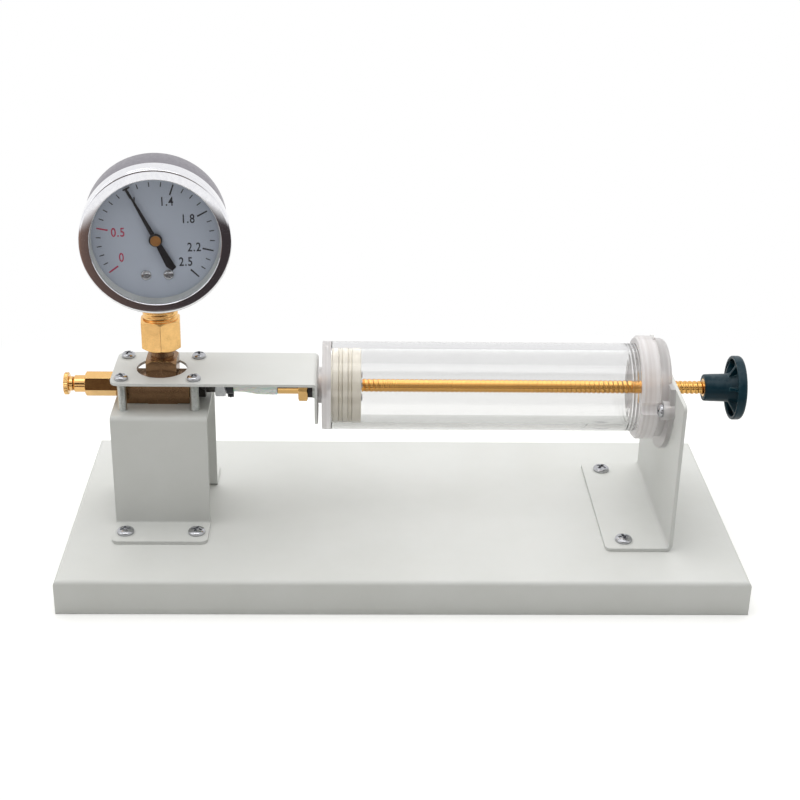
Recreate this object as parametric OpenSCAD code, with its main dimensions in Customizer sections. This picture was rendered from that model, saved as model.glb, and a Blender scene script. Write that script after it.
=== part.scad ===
// Gas law apparatus: a screw-driven piston in a clear cylinder, a pressure gauge
// on a brass tee with a release valve, and a folded steel base.
// X runs along the cylinder, Y to the back, Z up. The origin is the middle of the
// base tray, on the table.

/* [Base tray] */
// Length of the tray
tray_l = 300; // [285:1:330]
// Depth of the tray, front to back
tray_w = 136; // [125:1:160]
// Height of the tray
tray_h = 16; // [14:0.5:24]
// Thickness of the tray's sheet
tray_sheet = 1.2; // [0.8:0.1:2]
// Outer radius of the tray's bends
tray_bend = 2; // [1.5:0.1:3]

/* [Layout] */
// How far the cylinder's axis lies behind the tray's middle
axis_y = 2.3; // [0:0.1:5]
// Height of the cylinder's axis above the tray
axis_h = 60.8; // [58:0.2:70]
// Tray's middle to the stand's middle
stand_reach = 108.4; // [100:0.2:115]
// How far the gauge column lies to the right of the stand's middle
column_shift = 0.4; // [0:0.1:1.5]
// Tray's middle to the carrier plate's right face, where the cylinder begins
cylinder_reach = 38.5; // [34:0.5:44]

/* [Stand] */
// Width of the stand, left to right
stand_w = 42.6; // [40:0.1:50]
// How far the stand's middle lies behind the tray's middle
stand_y = 0.6; // [0:0.1:3]
// Depth of the stand over its two legs
stand_span = 39.4; // [36:0.2:46]
// Clear height from the stand's top to the cylinder's axis
saddle_h = 6.8; // [6.6:0.1:8]
// Thickness of the stand's sheet
stand_sheet = 1.5; // [1:0.1:2]
// Length of each foot, from the leg's outer face
foot_l = 17.4; // [15:0.2:20]
// Spacing of the foot screws, left to right
foot_screw_gap = 31.8; // [28:0.2:34]
// Leg's outer face to the foot screws
foot_screw_out = 9.3; // [8:0.1:11]

/* [Carrier plate] */
// Depth of the carrier plate, front to back
plate_w = 35.5; // [33:0.5:40]
// Thickness of the carrier plate
plate_sheet = 1.2; // [0.8:0.1:2]
// Left overhang of the plate past the stand
plate_overhang = 0; // [0:0.5:4]
// Radius of the hole for the tee
plate_hole_r = 11.2; // [11:0.1:12]
// Radius of the plate's left corners
plate_corner_r = 4.5; // [3:0.5:6]
// Cylinder's axis to the plate's underside
plate_lift = 6.8; // [6.6:0.1:8]
// Spacing of the standoffs, left to right
standoff_gap_x = 32; // [28:0.5:34]
// Spacing of the standoffs, front to back
standoff_gap_y = 25; // [24:0.5:27]
// Radius of a standoff
standoff_r = 2; // [2:0.1:2.8]

/* [Tee and gauge column] */
// Depth of the tee's arms, front to back
tee_bar = 13.6; // [12:0.1:13.6]
// Width of the tee's upright branch
tee_branch = 13.6; // [13.2:0.1:14.4]
// Length of the tee's left arm, from the column
tee_left = 16; // [14:0.5:20]
// Length of the tee's right arm, from the column
tee_right = 12; // [9:0.5:13]
// Cylinder's axis to the top of the tee's branch
branch_rise = 13.9; // [12:0.1:16]
// Width across the flats of the gauge's union nut
nut_af = 17; // [16.6:0.1:19]
// Height of the union nut
nut_h = 14.3; // [13:0.1:16]
// Cylinder's axis to the gauge's centre
gauge_rise = 72.5; // [70:0.1:78]

/* [Gauge] */
// How far the gauge is turned on its stem to face the reader
gauge_turn = 6; // [0:0.5:20]
// Outer radius of the gauge's bezel
bezel_r = 32; // [31.5:0.1:36]
// Inner radius of the bezel's lip
bezel_lip_r = 27.5; // [27:0.1:28]
// Depth of the bezel
bezel_d = 11.3; // [9:0.1:11.3]
// Depth of the whole gauge
gauge_d = 32; // [29:0.5:34]
// Front of the gauge to its stem
stem_d = 16.9; // [16.6:0.1:18.5]
// Thickness of the lens
lens_t = 1.5; // [1:0.1:1.8]
// Thickness of the gauge case's wall
case_wall = 0.8; // [0.6:0.1:1]
// Length of the pointer from its pivot to its tip
pointer_l = 25.6; // [20:0.1:26]
// Angle of the pointer at rest, clockwise from straight up
pointer_rest = -26; // [-100:1:100]
// Module of the movement's teeth
tooth_module = 0.35; // [0.34:0.01:0.36]

/* [Cylinder] */
// Outer radius of the tube
tube_r = 20; // [19.5:0.1:22]
// Wall of the tube
tube_wall = 3; // [2:0.1:4]
// Length of the tube
tube_l = 145.5; // [120:0.5:150]
// Thickness of the clear end disc
disc_t = 4; // [3.5:0.1:5]
// Radius of the end disc's boss
boss_r = 8.2; // [7.6:0.1:9]
// Length of the end disc's boss
boss_l = 2; // [1.5:0.1:3]
// Length of the piston
piston_l = 13.1; // [12:0.1:16]
// Gap between the piston and the tube, each side
piston_gap = 0.07; // [0.05:0.01:0.09]

/* [End cap and bracket] */
// Outer radius of the cap's rim
cap_rim_r = 23.5; // [23:0.1:25]
// Length of the cap's rim
cap_rim_l = 8.2; // [7:0.1:9]
// Radius of the cap's flange
cap_flange_r = 27.6; // [27:0.1:29]
// Thickness of the cap's flange
cap_flange_t = 2.2; // [1.8:0.1:3]
// Depth of the bracket, front to back
bracket_w = 83; // [74:1:90]
// Length of the bracket's foot
bracket_foot = 29.7; // [26:0.5:34]
// Height of the bracket above the tray
bracket_h = 71.2; // [70:0.2:74]
// Thickness of the bracket's sheet
bracket_sheet = 1.5; // [1:0.1:2]
// Spacing of the bracket's screws
bracket_screw_gap = 68; // [50:1:70]

/* [Lead screw and knob] */
// Radius of the lead screw
lead_r = 3; // [2.8:0.1:3.4]
// Running gap round the lead screw
lead_gap = 0.08; // [0.05:0.01:0.1]
// Bracket's right face to the knob's hub, with the piston fully in
knob_gap = 16.7; // [8:0.1:24]
// Radius of the knob's hub
hub_r = 6.2; // [5.8:0.1:7]
// Length of the knob's hub
hub_l = 14.2; // [12:0.1:16]
// Radius of the knob's wheel
wheel_r = 14.6; // [13:0.1:18]
// Number of ribs behind the knob's wheel
wheel_ribs = 6; // [4:1:8]

/* [Release valve] */
// Width across the flats of the valve's body
valve_af = 9.5; // [9:0.1:10]
// Length of the valve's hexagon
valve_hex_l = 18.8; // [15:0.1:22]
// Length of the valve's round neck
valve_neck_l = 5.4; // [5:0.1:8]
// Radius of the valve's knurled head
thumb_r = 5; // [4.5:0.1:6]
// Thickness of the knurled head
thumb_l = 2; // [1.6:0.1:5]
// Length of the collar behind the knurled head
collar_l = 1.8; // [1.5:0.1:3]

/* [Air line] */
// Right face of the tee to the hose's left end
line_left = 16; // [14.5:0.1:17]
// Outer radius of the hose at the clip
hose_small_r = 3.2; // [3:0.1:3.6]
// Outer radius of the hose on the nozzle
hose_big_r = 4.5; // [4.4:0.1:5]
// Radius of the nozzle's collar
nozzle_r = 4.1; // [3.9:0.1:4.4]
// Width across the flats of the nozzle's hexagon
nozzle_af = 12.7; // [12.4:0.1:14]

/* [Hidden] */
$fn = 72;

seat_gap = 0.05;      // a pin in a hole of its own body
free_gap = 0.3;       // pieces that move past each other
spin_gap = 0.07;      // a small shaft in its hole, each side
m3_r = 1.5;
m4_r = 2;
m3_head_r = 3.1;
m4_head_r = 3.9;
hole_gap = 0.1;       // a screw in its clearance hole, each side

// heights and stations
axis_z = tray_h + axis_h;
stand_x = -stand_reach;
column_x = stand_x + column_shift;
stand_top = axis_z - saddle_h;
stand_h = stand_top - tray_h;
plate_under = axis_z + plate_lift;
plate_top = plate_under + plate_sheet;
plate_left = stand_x - stand_w / 2 - plate_overhang;
plate_right = -cylinder_reach;
disc_left = plate_right + boss_l;
tube_left = disc_left + disc_t;
tube_right = tube_left + tube_l;
bore_r = tube_r - tube_wall;
cap_bore_r = tube_r + seat_gap;
cap_wall = 5.4;
cap_left = tube_right - 8;
cap_seat = tube_right + 0.2;
cap_right = cap_seat + cap_wall;
cap_body_r = cap_rim_r - 1.1;
bracket_right = cap_right + bracket_sheet;
bracket_top = tray_h + bracket_h;
bracket_left = bracket_right - bracket_foot;
bracket_screw_x = bracket_left + 9;
cap_screw_r = cap_flange_r - 2.8;
cap_boss_r = 4.2;
cap_boss_l = 4.8;
cap_head_x = cap_right - cap_boss_l;
feed_r = 5.5;
feed_collar_r = 6.2;
feed_collar_l = 1.8;
feed_flange_r = 9;
feed_flange_l = 2.4;

// sheet bends
stand_bend = 0.6;
bracket_bend = 1.5;
plate_bend = 0.7;
foot_corner_r = 3;
flange_corner_r = 2.5;

// piston and screw
piston_r = bore_r - piston_gap;
piston_left = tube_left + free_gap;
piston_right = piston_left + piston_l;
retainer_t = 1.6;
retainer_r = 9;
head_l = 3.4;
head_r = 4;
neck_r = 2;
head_right = piston_right - retainer_t - free_gap;
head_left = head_right - head_l;
ring_r = 0.9;
knob_left = bracket_right + knob_gap;
spigot_r = lead_r - 0.5;
shoulder_x = knob_left + 3;
spigot_l = 10;
wheel_t = 2;
rim_l = 5.4;

// release valve
tee_left_x = column_x - tee_left;
tee_right_x = column_x + tee_right;
tee_high = 5;
port_r = 3;
port_l = 5.5;
valve_right = tee_left_x;
valve_hex_x = valve_right - valve_hex_l;
valve_neck_x = valve_hex_x - valve_neck_l;
valve_neck_r = 3.85;
valve_stem_r = 2;
valve_seat_x = valve_hex_x - 0.4;
valve_seal_t = 1.5;
thumb_right = valve_neck_x - free_gap;
valve_air_r = 1;
vent_r = 0.7;

// air line
line_x = tee_right_x + line_left;
outlet_af = 10;
outlet_hex_l = 7.2;
outlet_thread_r = 3.6;
outlet_spigot_r = 1.9;
outlet_spigot_l = 8;
nozzle_hex_l = 4.2;
rubber_t = 2.2;
washer_t = 1.2;
washer_r = plate_lift - plate_bend - 0.1;
rubber_r = washer_r - 0.3;
nozzle_thread_r = 4;
flange_left = plate_right - plate_sheet;
nozzle_hex_x = flange_left - washer_t - rubber_t - nozzle_hex_l;
nozzle_collar_l = 9.3;
nozzle_collar_x = nozzle_hex_x - nozzle_collar_l;
barb_l = 8;
barb_r = nozzle_r - 0.9;
nozzle_air_r = 1.6;
clip_w = 3.3;

// column above the tee
branch_top = axis_z + branch_rise;
nut_bottom = branch_top + 4.3;
nut_top = nut_bottom + nut_h;
collar_r = 5.2;
collar_top = nut_bottom + 4.4;
shank_r = 7.2;
shank_neck_r = stem_d - bezel_d - 0.4;
nut_turn = 5.5;
air_r = 2;

// gauge, with depths measured back from its front
gauge_z = axis_z + gauge_rise;
lip_t = 0.9;
lens_back = lip_t + lens_t;
dial_d = lens_back + 4.6;
dial_t = 0.6;
case_r = bezel_r - 1.1;
dial_r = case_r - case_wall - 0.4;
ring_in_r = bezel_lip_r - 0.6;
front_plate_d = dial_d + 2.2;
front_plate_low = 25;
movement_t = 1;
movement_gap = 4;
back_plate_d = front_plate_d + movement_t + movement_gap;
gear_d = front_plate_d + movement_t + 1;
gear_t = 1.2;
link_t = 0.8;
link_d = gear_d + gear_t + 0.5;
arbor_r = 0.8;
pointer_d = lens_back + 2.4;
pointer_t = 0.5;
boss_d = lens_back + 1;
dial_screw_x = 4.8;
dial_screw_z = -16.3;
dial_screw_r = 0.95;
coil_r = 24;
coil_start = 107;
coil_end = 368;
coil_t = 2.4;
coil_w = 7;
coil_wall = 0.35;
coil_d = back_plate_d + movement_t + 0.3;
socket_w = 14;
socket_top = -18.5;
socket_low = -28;

// movement train: the sector turns the pinion
pinion_teeth = 10;
sector_teeth = 100;
train_gap = (pinion_teeth + sector_teeth) / 2 * tooth_module;
sector_dir = 55.15;
sector_at = [train_gap * cos(sector_dir), train_gap * sin(sector_dir)];
tail_l = 6;
tail_dir = 30;
tail_at = sector_at + tail_l * [cos(tail_dir), sin(tail_dir)];
tip_dir = 15;
tip_at = coil_r * [cos(tip_dir), sin(tip_dir)];
pillars = [[-5, -5], [13.5, 8], [-2, 16.8]];

// colours
paint = [0.85, 0.85, 0.83];
brass = [0.86, 0.62, 0.25];
steel = [0.72, 0.73, 0.75];
clear = [0.86, 0.90, 0.93, 0.35];
dark = [0.12, 0.12, 0.13];

// ---- shared shapes -------------------------------------------------------

// Runs a child's Z along +X from station x on the cylinder's axis
module along_axis(x) {
    translate([x, axis_y, axis_z]) rotate([0, 90, 0]) children();
}

// Turns a child with the gauge about its stem
module turned() {
    translate([column_x, axis_y, 0]) rotate(gauge_turn) children();
}

// Runs a child's Z to the back from depth d; its X is right and its Y is down
module in_gauge(d) {
    turned() translate([0, d - stem_d, gauge_z]) rotate([-90, 0, 0]) children();
}

module ring(r_out, r_in, h) {
    difference() {
        cylinder(r = r_out, h = h);
        translate([0, 0, -1]) cylinder(r = r_in, h = h + 2);
    }
}

// Hexagonal bar with chamfered ends
module hex_bar(af, h, ends = 0.6) {
    corner_r = af / 2 / cos(30);
    intersection() {
        cylinder(r = corner_r, h = h, $fn = 6);
        union() {
            cylinder(r1 = corner_r - ends, r2 = corner_r, h = ends / 2);
            translate([0, 0, ends / 2]) cylinder(r = corner_r, h = h - ends);
            translate([0, 0, h - ends / 2]) cylinder(r1 = corner_r, r2 = corner_r - ends, h = ends / 2);
        }
    }
}

module hex_nut(af, h, bore) {
    difference() {
        hex_bar(af, h, 0.5);
        translate([0, 0, -1]) cylinder(r = bore, h = h + 2);
    }
}

// Pan head screw: head above the origin, shank below, with a cross recess
module pan_screw(shank, length, head, head_h) {
    crown = [for (a = [0 : 15 : 75]) [head * 0.45 + head * 0.55 * cos(a), head_h * (0.4 + 0.6 * sin(a))]];
    difference() {
        union() {
            translate([0, 0, -length]) cylinder(r = shank, h = length);
            rotate_extrude() polygon(concat([[0, 0], [head, 0]], crown, [[0, head_h]]));
        }
        for (a = [0, 90]) rotate(a) translate([-head * 0.5, -head * 0.11, head_h * 0.5])
            cube([head, head * 0.22, head_h]);
    }
}

// Quarter of a bent sheet in the first quadrant
module bend(inner, t) {
    intersection() {
        difference() {
            circle(inner + t);
            circle(inner);
        }
        square(inner + t);
    }
}

// Rectangle with all four corners rounded, centred
module round_rect(w, l, r) {
    square([w - 2 * r, l], center = true);
    square([w, l - 2 * r], center = true);
    for (x = [-1, 1], y = [-1, 1]) translate([x * (w / 2 - r), y * (l / 2 - r)]) circle(r);
}

// Folded edge seen end on: width w, height h, top corners rounded
module folded(w, h, r) {
    translate([-w / 2, 0]) square([w, h - r]);
    translate([-w / 2 + r, 0]) square([w - 2 * r, h]);
    for (s = [-1, 1]) translate([s * (w / 2 - r), h - r]) circle(r);
}

// Block with its four top edges folded round, open to nothing
module folded_block(l, w, h, r) {
    intersection() {
        rotate([90, 0, 0]) translate([0, 0, -w / 2]) linear_extrude(w) folded(l, h, r);
        rotate([90, 0, 90]) translate([0, 0, -l / 2]) linear_extrude(l) folded(w, h, r);
    }
}

// Teeth n0 to n1 of a wheel, as a ring of trapezoids round a disc of radius root
module teeth(count, n0, n1, turn, add, ded) {
    pitch_r = count * tooth_module / 2;
    step = 360 / count;
    wide = [0.32, 0.22, 0.11];
    radii = [pitch_r - ded - 0.1, pitch_r, pitch_r + add];
    for (n = [n0 : n1]) rotate(turn + n * step) polygon([
        for (k = [0 : 2]) [radii[k], -radii[k] * sin(step * wide[k])],
        for (k = [2 : -1 : 0]) [radii[k], radii[k] * sin(step * wide[k])]
    ]);
}

function foot_screw_spots() = [
    for (x = [-1, 1], y = [-1, 1])
        [stand_x + x * foot_screw_gap / 2, stand_y + y * (stand_span / 2 + foot_screw_out)]
];
function bracket_screw_spots() = [for (y = [-1, 1]) [bracket_screw_x, y * bracket_screw_gap / 2]];
function standoff_spots() = [
    for (x = [-1, 1], y = [-1, 1])
        [stand_x - 0.6 + x * standoff_gap_x / 2, axis_y + y * standoff_gap_y / 2]
];
function cap_screw_spots() = [for (k = [0, 1]) cap_screw_r * [cos(180 + 120 * k), sin(180 + 120 * k)]];

// ---- base ----------------------------------------------------------------

module base_tray() {
    color(paint) difference() {
        folded_block(tray_l, tray_w, tray_h, tray_bend);
        translate([0, 0, -1]) folded_block(
            tray_l - 2 * tray_sheet, tray_w - 2 * tray_sheet, tray_h + 1 - tray_sheet, tray_bend - tray_sheet + 0.3);
        for (p = concat(foot_screw_spots(), bracket_screw_spots()))
            translate([p[0], p[1], tray_h - 4]) cylinder(r = m4_r + hole_gap, h = 8);
    }
}

module stand_half() {
    t = stand_sheet;
    outer = stand_bend + t;
    half = stand_span / 2;
    translate([0, stand_h - t]) square([half - outer, t]);
    translate([half - outer, stand_h - outer]) bend(stand_bend, t);
    translate([half - t, outer]) square([t, stand_h - 2 * outer]);
    translate([half + stand_bend, outer]) rotate(180) bend(stand_bend, t);
    translate([half + stand_bend, 0]) square([foot_l - stand_bend, t]);
}

module tee_stand() {
    full = stand_span + 2 * foot_l;
    color(paint) difference() {
        intersection() {
            translate([stand_x - stand_w / 2, stand_y, tray_h]) rotate([90, 0, 90]) linear_extrude(stand_w) {
                stand_half();
                mirror([1, 0]) stand_half();
            }
            translate([stand_x, stand_y, tray_h - 1]) linear_extrude(stand_h + 2)
                round_rect(stand_w, full, foot_corner_r);
        }
        for (p = foot_screw_spots()) translate([p[0], p[1], tray_h - 1]) cylinder(r = m4_r + hole_gap, h = 6);
        for (p = standoff_spots()) translate([p[0], p[1], stand_top - 4]) cylinder(r = m3_r + hole_gap, h = 6);
        translate([column_x, axis_y, stand_top - 4]) cylinder(r = m4_r + hole_gap, h = 6);
    }
}

module foot_screws() {
    color(steel) for (p = foot_screw_spots()) translate([p[0], p[1], tray_h + stand_sheet])
        pan_screw(m4_r, 8, m4_head_r, 2.2);
}

module foot_nuts() {
    color(steel) for (p = foot_screw_spots()) translate([p[0], p[1], tray_h - tray_sheet - 3.2])
        hex_nut(7, 3.2, m4_r + seat_gap);
}

// ---- carrier plate -------------------------------------------------------

module standoffs() {
    color(steel) for (p = standoff_spots()) translate([p[0], p[1], stand_top])
        ring(standoff_r, m3_r + hole_gap, plate_under - stand_top);
}

module plate_profile() {
    t = plate_sheet;
    outer = plate_bend + t;
    translate([plate_left, plate_under]) square([plate_right - outer - plate_left, t]);
    translate([plate_right - outer, plate_top - outer]) bend(plate_bend, t);
    translate([plate_right - t, axis_z - plate_w / 2]) square([t, plate_top - outer - axis_z + plate_w / 2]);
}

module carrier_plate() {
    long = plate_right - plate_left;
    color(paint) difference() {
        intersection() {
            translate([0, axis_y + plate_w / 2, 0]) rotate([90, 0, 0]) linear_extrude(plate_w) plate_profile();
            // rounded left corners
            translate([plate_left + long, axis_y, 0]) linear_extrude(plate_top + 1)
                round_rect(2 * long, plate_w, plate_corner_r);
            // flange with a round lower end
            translate([plate_left - 1, axis_y, axis_z]) rotate([90, 0, 90]) linear_extrude(long + 2) {
                circle(plate_w / 2);
                translate([-plate_w / 2, 0]) square([plate_w, plate_w]);
            }
        }
        translate([stand_x, axis_y, plate_under - 1]) cylinder(r = plate_hole_r, h = 4);
        for (p = standoff_spots()) translate([p[0], p[1], plate_under - 1]) cylinder(r = m3_r + hole_gap, h = 4);
        along_axis(plate_right - 4) cylinder(r = nozzle_thread_r + hole_gap, h = 6);
    }
}

module carrier_screws() {
    color(steel) for (p = standoff_spots()) translate([p[0], p[1], plate_top])
        pan_screw(m3_r, plate_top - stand_top + stand_sheet + 3, m3_head_r, 2.3);
}

module carrier_nuts() {
    color(steel) for (p = standoff_spots()) translate([p[0], p[1], stand_top - stand_sheet - 2.4])
        hex_nut(5.5, 2.4, m3_r + seat_gap);
}

// ---- tee and union nut ---------------------------------------------------

module tee_block() {
    bar = tee_left + tee_right;
    edge = 0.8;
    color(brass) difference() {
        union() {
            // arms, with their long edges eased
            along_axis(tee_left_x) translate([(saddle_h - tee_high) / 2, 0]) linear_extrude(bar)
                round_rect(saddle_h + tee_high, tee_bar, edge);
            translate([column_x, axis_y, stand_top]) linear_extrude(axis_z - stand_top + branch_rise - 1.2)
                round_rect(tee_branch, tee_branch, edge);
            // turned shoulder on top of the square branch
            intersection() {
                translate([column_x, axis_y, branch_top - 1.2])
                    cylinder(r1 = tee_branch * 0.68, r2 = tee_branch * 0.58, h = 1.2);
                translate([column_x, axis_y, branch_top - 2]) linear_extrude(3)
                    round_rect(tee_branch, tee_branch, edge);
            }
            translate([column_x, axis_y, branch_top - 1]) cylinder(r = collar_r, h = collar_top - branch_top + 1);
            translate([column_x, axis_y, nut_bottom + 2.6]) cylinder(r = collar_r + 1.4, h = collar_top - nut_bottom - 2.6);
        }
        along_axis(tee_left_x - 1) cylinder(r = air_r, h = bar + 2);
        along_axis(tee_left_x - 1) cylinder(r = port_r, h = port_l + 1.5);
        along_axis(tee_right_x - port_l - 0.5) cylinder(r = port_r, h = port_l + 2);
        translate([column_x, axis_y, axis_z]) cylinder(r = air_r, h = collar_top - axis_z + 1);
        translate([column_x, axis_y, stand_top - 1]) cylinder(r = m4_r + seat_gap, h = 4.4);
    }
}

module tee_screw() {
    color(steel) translate([column_x, axis_y, stand_top - stand_sheet]) mirror([0, 0, 1])
        pan_screw(m4_r, stand_sheet + 3, m4_head_r, 2.7);
}

module gauge_nut() {
    corner_r = nut_af / 2 / cos(30);
    color(brass) translate([column_x, axis_y, nut_bottom]) difference() {
        intersection() {
            rotate(30 + nut_turn) cylinder(r = corner_r, h = nut_h, $fn = 6);
            union() {
                cylinder(r1 = corner_r * 0.78, r2 = corner_r + 0.3, h = 1.8);
                translate([0, 0, 1.8]) cylinder(r = corner_r + 0.3, h = nut_h - 3);
                translate([0, 0, nut_h - 1.2]) cylinder(r1 = corner_r + 0.3, r2 = corner_r * 0.86, h = 1.2);
            }
        }
        translate([0, 0, -1]) cylinder(r = collar_r + seat_gap, h = nut_h);
        translate([0, 0, 2.6]) cylinder(r = shank_r + seat_gap, h = nut_h);
    }
}

// ---- gauge ---------------------------------------------------------------

module gauge_socket() {
    low = collar_top - gauge_z;
    color(brass) difference() {
        union() {
            // block that carries the coiled tube and the movement
            in_gauge(front_plate_d + movement_t) translate([-socket_w / 2, -socket_top, 0])
                cube([socket_w, socket_top - socket_low, coil_d + coil_w + 1 - front_plate_d - movement_t]);
            translate([column_x, axis_y, gauge_z - bezel_r - 1]) cylinder(r = shank_neck_r, h = bezel_r + 1 + socket_low + 2);
            translate([column_x, axis_y, gauge_z + low]) cylinder(r = shank_r, h = -low - bezel_r - 0.8);
        }
        translate([column_x, axis_y, gauge_z + low - 1]) cylinder(r = air_r, h = -low + socket_low + 5);
        // pocket for the start of the coiled tube, and its way down to the bore
        in_gauge(coil_d - seat_gap) rotate(coil_start - 14) rotate_extrude(angle = 17)
            translate([coil_r - coil_t / 2 - seat_gap, 0]) square([coil_t + 2 * seat_gap, coil_w + 2 * seat_gap]);
        for (s = [-1, 1]) in_gauge(front_plate_d) translate([s * 4.5, 21.5, 0]) cylinder(r = 0.9, h = 6);
    }
}

module gauge_case() {
    color(steel) difference() {
        in_gauge(0) rotate_extrude() polygon(concat(
            [[case_r - case_wall, dial_d], [case_r, dial_d]],
            [for (a = [0 : 15 : 90]) [case_r - 3 + 3 * cos(a), gauge_d - 3 + 3 * sin(a)]],
            [[0, gauge_d], [0, gauge_d - case_wall]],
            [for (a = [90 : -15 : 0]) [case_r - 3 + (3 - case_wall) * cos(a), gauge_d - 3 + (3 - case_wall) * sin(a)]]
        ));
        translate([column_x, axis_y, gauge_z - bezel_r - 2]) cylinder(r = shank_neck_r + seat_gap, h = 8);
    }
}

module gauge_bezel() {
    crest = bezel_r - 2.2;
    color([0.8, 0.81, 0.83]) in_gauge(0) rotate_extrude() polygon(concat(
        [[bezel_lip_r, lip_t], [bezel_lip_r, 0.75]],
        [for (a = [150 : -15 : 90]) [crest + 2.4 * cos(a), 0.95 - 0.95 * sin(a)]],
        [for (a = [75 : -15 : 0]) [bezel_r - 1.4 + 1.4 * cos(a), 1.7 - 1.7 * sin(a)]],
        [
            [bezel_r, bezel_d], [case_r + seat_gap, bezel_d], [case_r + seat_gap, lip_t]
        ]
    ));
}

module gauge_lens() {
    color(clear) in_gauge(lip_t) cylinder(r = case_r, h = lens_t);
}

module dial_ring() {
    color([0.93, 0.93, 0.92]) in_gauge(lens_back) difference() {
        cylinder(r = case_r, h = dial_d - lens_back);
        translate([0, 0, -0.01]) cylinder(r1 = bezel_lip_r + 0.2, r2 = ring_in_r, h = dial_d - lens_back + 0.02);
    }
}

module gauge_dial() {
    color([0.80, 0.83, 0.86]) in_gauge(dial_d) difference() {
        cylinder(r = dial_r, h = dial_t);
        translate([0, 0, -1]) cylinder(r = 2, h = 3);
        for (s = [-1, 1]) translate([s * dial_screw_x, -dial_screw_z, -1]) cylinder(r = dial_screw_r + seat_gap, h = 3);
    }
}

module dial_screws() {
    reach = front_plate_d + movement_t - dial_d;
    color(steel) for (s = [-1, 1]) in_gauge(dial_d) translate([s * dial_screw_x, -dial_screw_z, 0])
        mirror([0, 0, 1]) pan_screw(dial_screw_r, reach, 2.2, 0.9);
}

module movement_outline(low) {
    polygon([[-7.5, -7], [3, -7.5], [16, 5], [15, 18.2], [8, low], [-8, low], [-7.5, 8]]);
}

module movement_front() {
    color(brass) difference() {
        union() {
            in_gauge(front_plate_d) linear_extrude(movement_t) movement_outline(front_plate_low);
            // bosses that the dial sits on
            for (s = [-1, 1]) in_gauge(dial_d + dial_t) translate([s * dial_screw_x, -dial_screw_z, 0])
                cylinder(r = 1.9, h = front_plate_d - dial_d - dial_t + 0.2);
            for (s = [-1, 1]) in_gauge(front_plate_d - 0.6) translate([s * 4.5, 21.5, 0]) {
                cylinder(r = 1.7, h = 1);
                cylinder(r = 0.85, h = 5);
            }
        }
        in_gauge(front_plate_d - 1) cylinder(r = arbor_r + spin_gap, h = 3);
        in_gauge(front_plate_d - 1) translate(sector_at) cylinder(r = arbor_r + spin_gap, h = 3);
        for (s = [-1, 1]) in_gauge(dial_d) translate([s * dial_screw_x, -dial_screw_z, 0])
            cylinder(r = dial_screw_r + seat_gap, h = 6);
    }
}

module movement_back() {
    color(brass) difference() {
        union() {
            in_gauge(back_plate_d) linear_extrude(movement_t)
                polygon([[-7.5, -7], [3, -7.5], [15.2, 5], [14, 18.3], [-4, 18.3], [-7.5, 12]]);
            in_gauge(front_plate_d + movement_t) for (p = pillars) translate(p)
                cylinder(r = 1.2, h = movement_gap + 0.1);
        }
        in_gauge(back_plate_d - 1) cylinder(r = arbor_r + spin_gap, h = 3);
        in_gauge(back_plate_d - 1) translate(sector_at) cylinder(r = arbor_r + spin_gap, h = 3);
    }
}

// Flat oval of the coiled tube's section, shrunk by cut
module coil_section(cut) {
    r = coil_t / 2 - cut;
    translate([coil_r, coil_w / 2]) {
        square([2 * r, coil_w - coil_t], center = true);
        for (s = [-1, 1]) translate([0, s * (coil_w - coil_t) / 2]) circle(r);
    }
}

module bourdon_tube() {
    color([0.8, 0.6, 0.35]) {
        in_gauge(coil_d) difference() {
            rotate(coil_start - 6) rotate_extrude(angle = coil_end - coil_start + 6) coil_section(0);
            rotate(coil_start - 7) rotate_extrude(angle = coil_end - coil_start + 5) coil_section(coil_wall);
        }
        // closed tip, with the ear that the link hangs on
        in_gauge(coil_d) rotate(coil_end - 1) rotate_extrude(angle = 8) coil_section(0);
        in_gauge(link_d + link_t + free_gap) translate(tip_at) cylinder(r = 1.7, h = coil_d - link_d + 1.5);
    }
}

// ---- release valve -------------------------------------------------------

module valve_body() {
    color(brass) difference() {
        union() {
            along_axis(valve_hex_x) rotate(-20) hex_bar(valve_af, valve_hex_l, 0.8);
            along_axis(valve_neck_x) cylinder(r1 = valve_neck_r - 0.7, r2 = valve_neck_r, h = 0.7);
            along_axis(valve_neck_x + 0.7) cylinder(r = valve_neck_r, h = valve_neck_l);
            along_axis(valve_right - 1) cylinder(r = port_r - seat_gap, h = port_l + 1);
        }
        along_axis(valve_neck_x - 1) cylinder(r = valve_stem_r + spin_gap, h = valve_seat_x - valve_neck_x + 1);
        along_axis(valve_seat_x - 1) cylinder(r = valve_air_r, h = valve_right - valve_seat_x + port_l + 2);
        // vent, opened when the seal lifts
        translate([valve_seat_x - vent_r - 0.1, axis_y, axis_z - valve_neck_r - 1]) cylinder(r = vent_r, h = valve_neck_r);
    }
}

module valve_seal() {
    left = valve_seat_x - 0.15 - valve_seal_t;
    color(dark) {
        along_axis(left) cylinder(r = valve_stem_r, h = valve_seal_t);
        along_axis(left - 1.8) cylinder(r = 0.8, h = 2);
    }
}

module valve_screw() {
    stem_right = valve_seat_x - 0.15 - valve_seal_t - free_gap;
    lands = 24;
    color(brass) difference() {
        union() {
            along_axis(thumb_right - collar_l - thumb_l) linear_extrude(thumb_l) polygon([
                for (k = [0 : 2 * lands - 1]) (thumb_r - (k % 2) * 0.35) * [cos(180 / lands * k), sin(180 / lands * k)]
            ]);
            along_axis(thumb_right - collar_l - 0.1) cylinder(r = 3.3, h = collar_l + 0.1);
            along_axis(thumb_right - 0.1) cylinder(r = valve_stem_r, h = stem_right - thumb_right + 0.1);
        }
        along_axis(stem_right - 2) cylinder(r = 0.8 + spin_gap, h = 3);
        // finger dish in the head
        along_axis(thumb_right - collar_l - thumb_l - 1) cylinder(r = thumb_r * 0.55, h = 1.6);
    }
}

// ---- air line ------------------------------------------------------------

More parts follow.
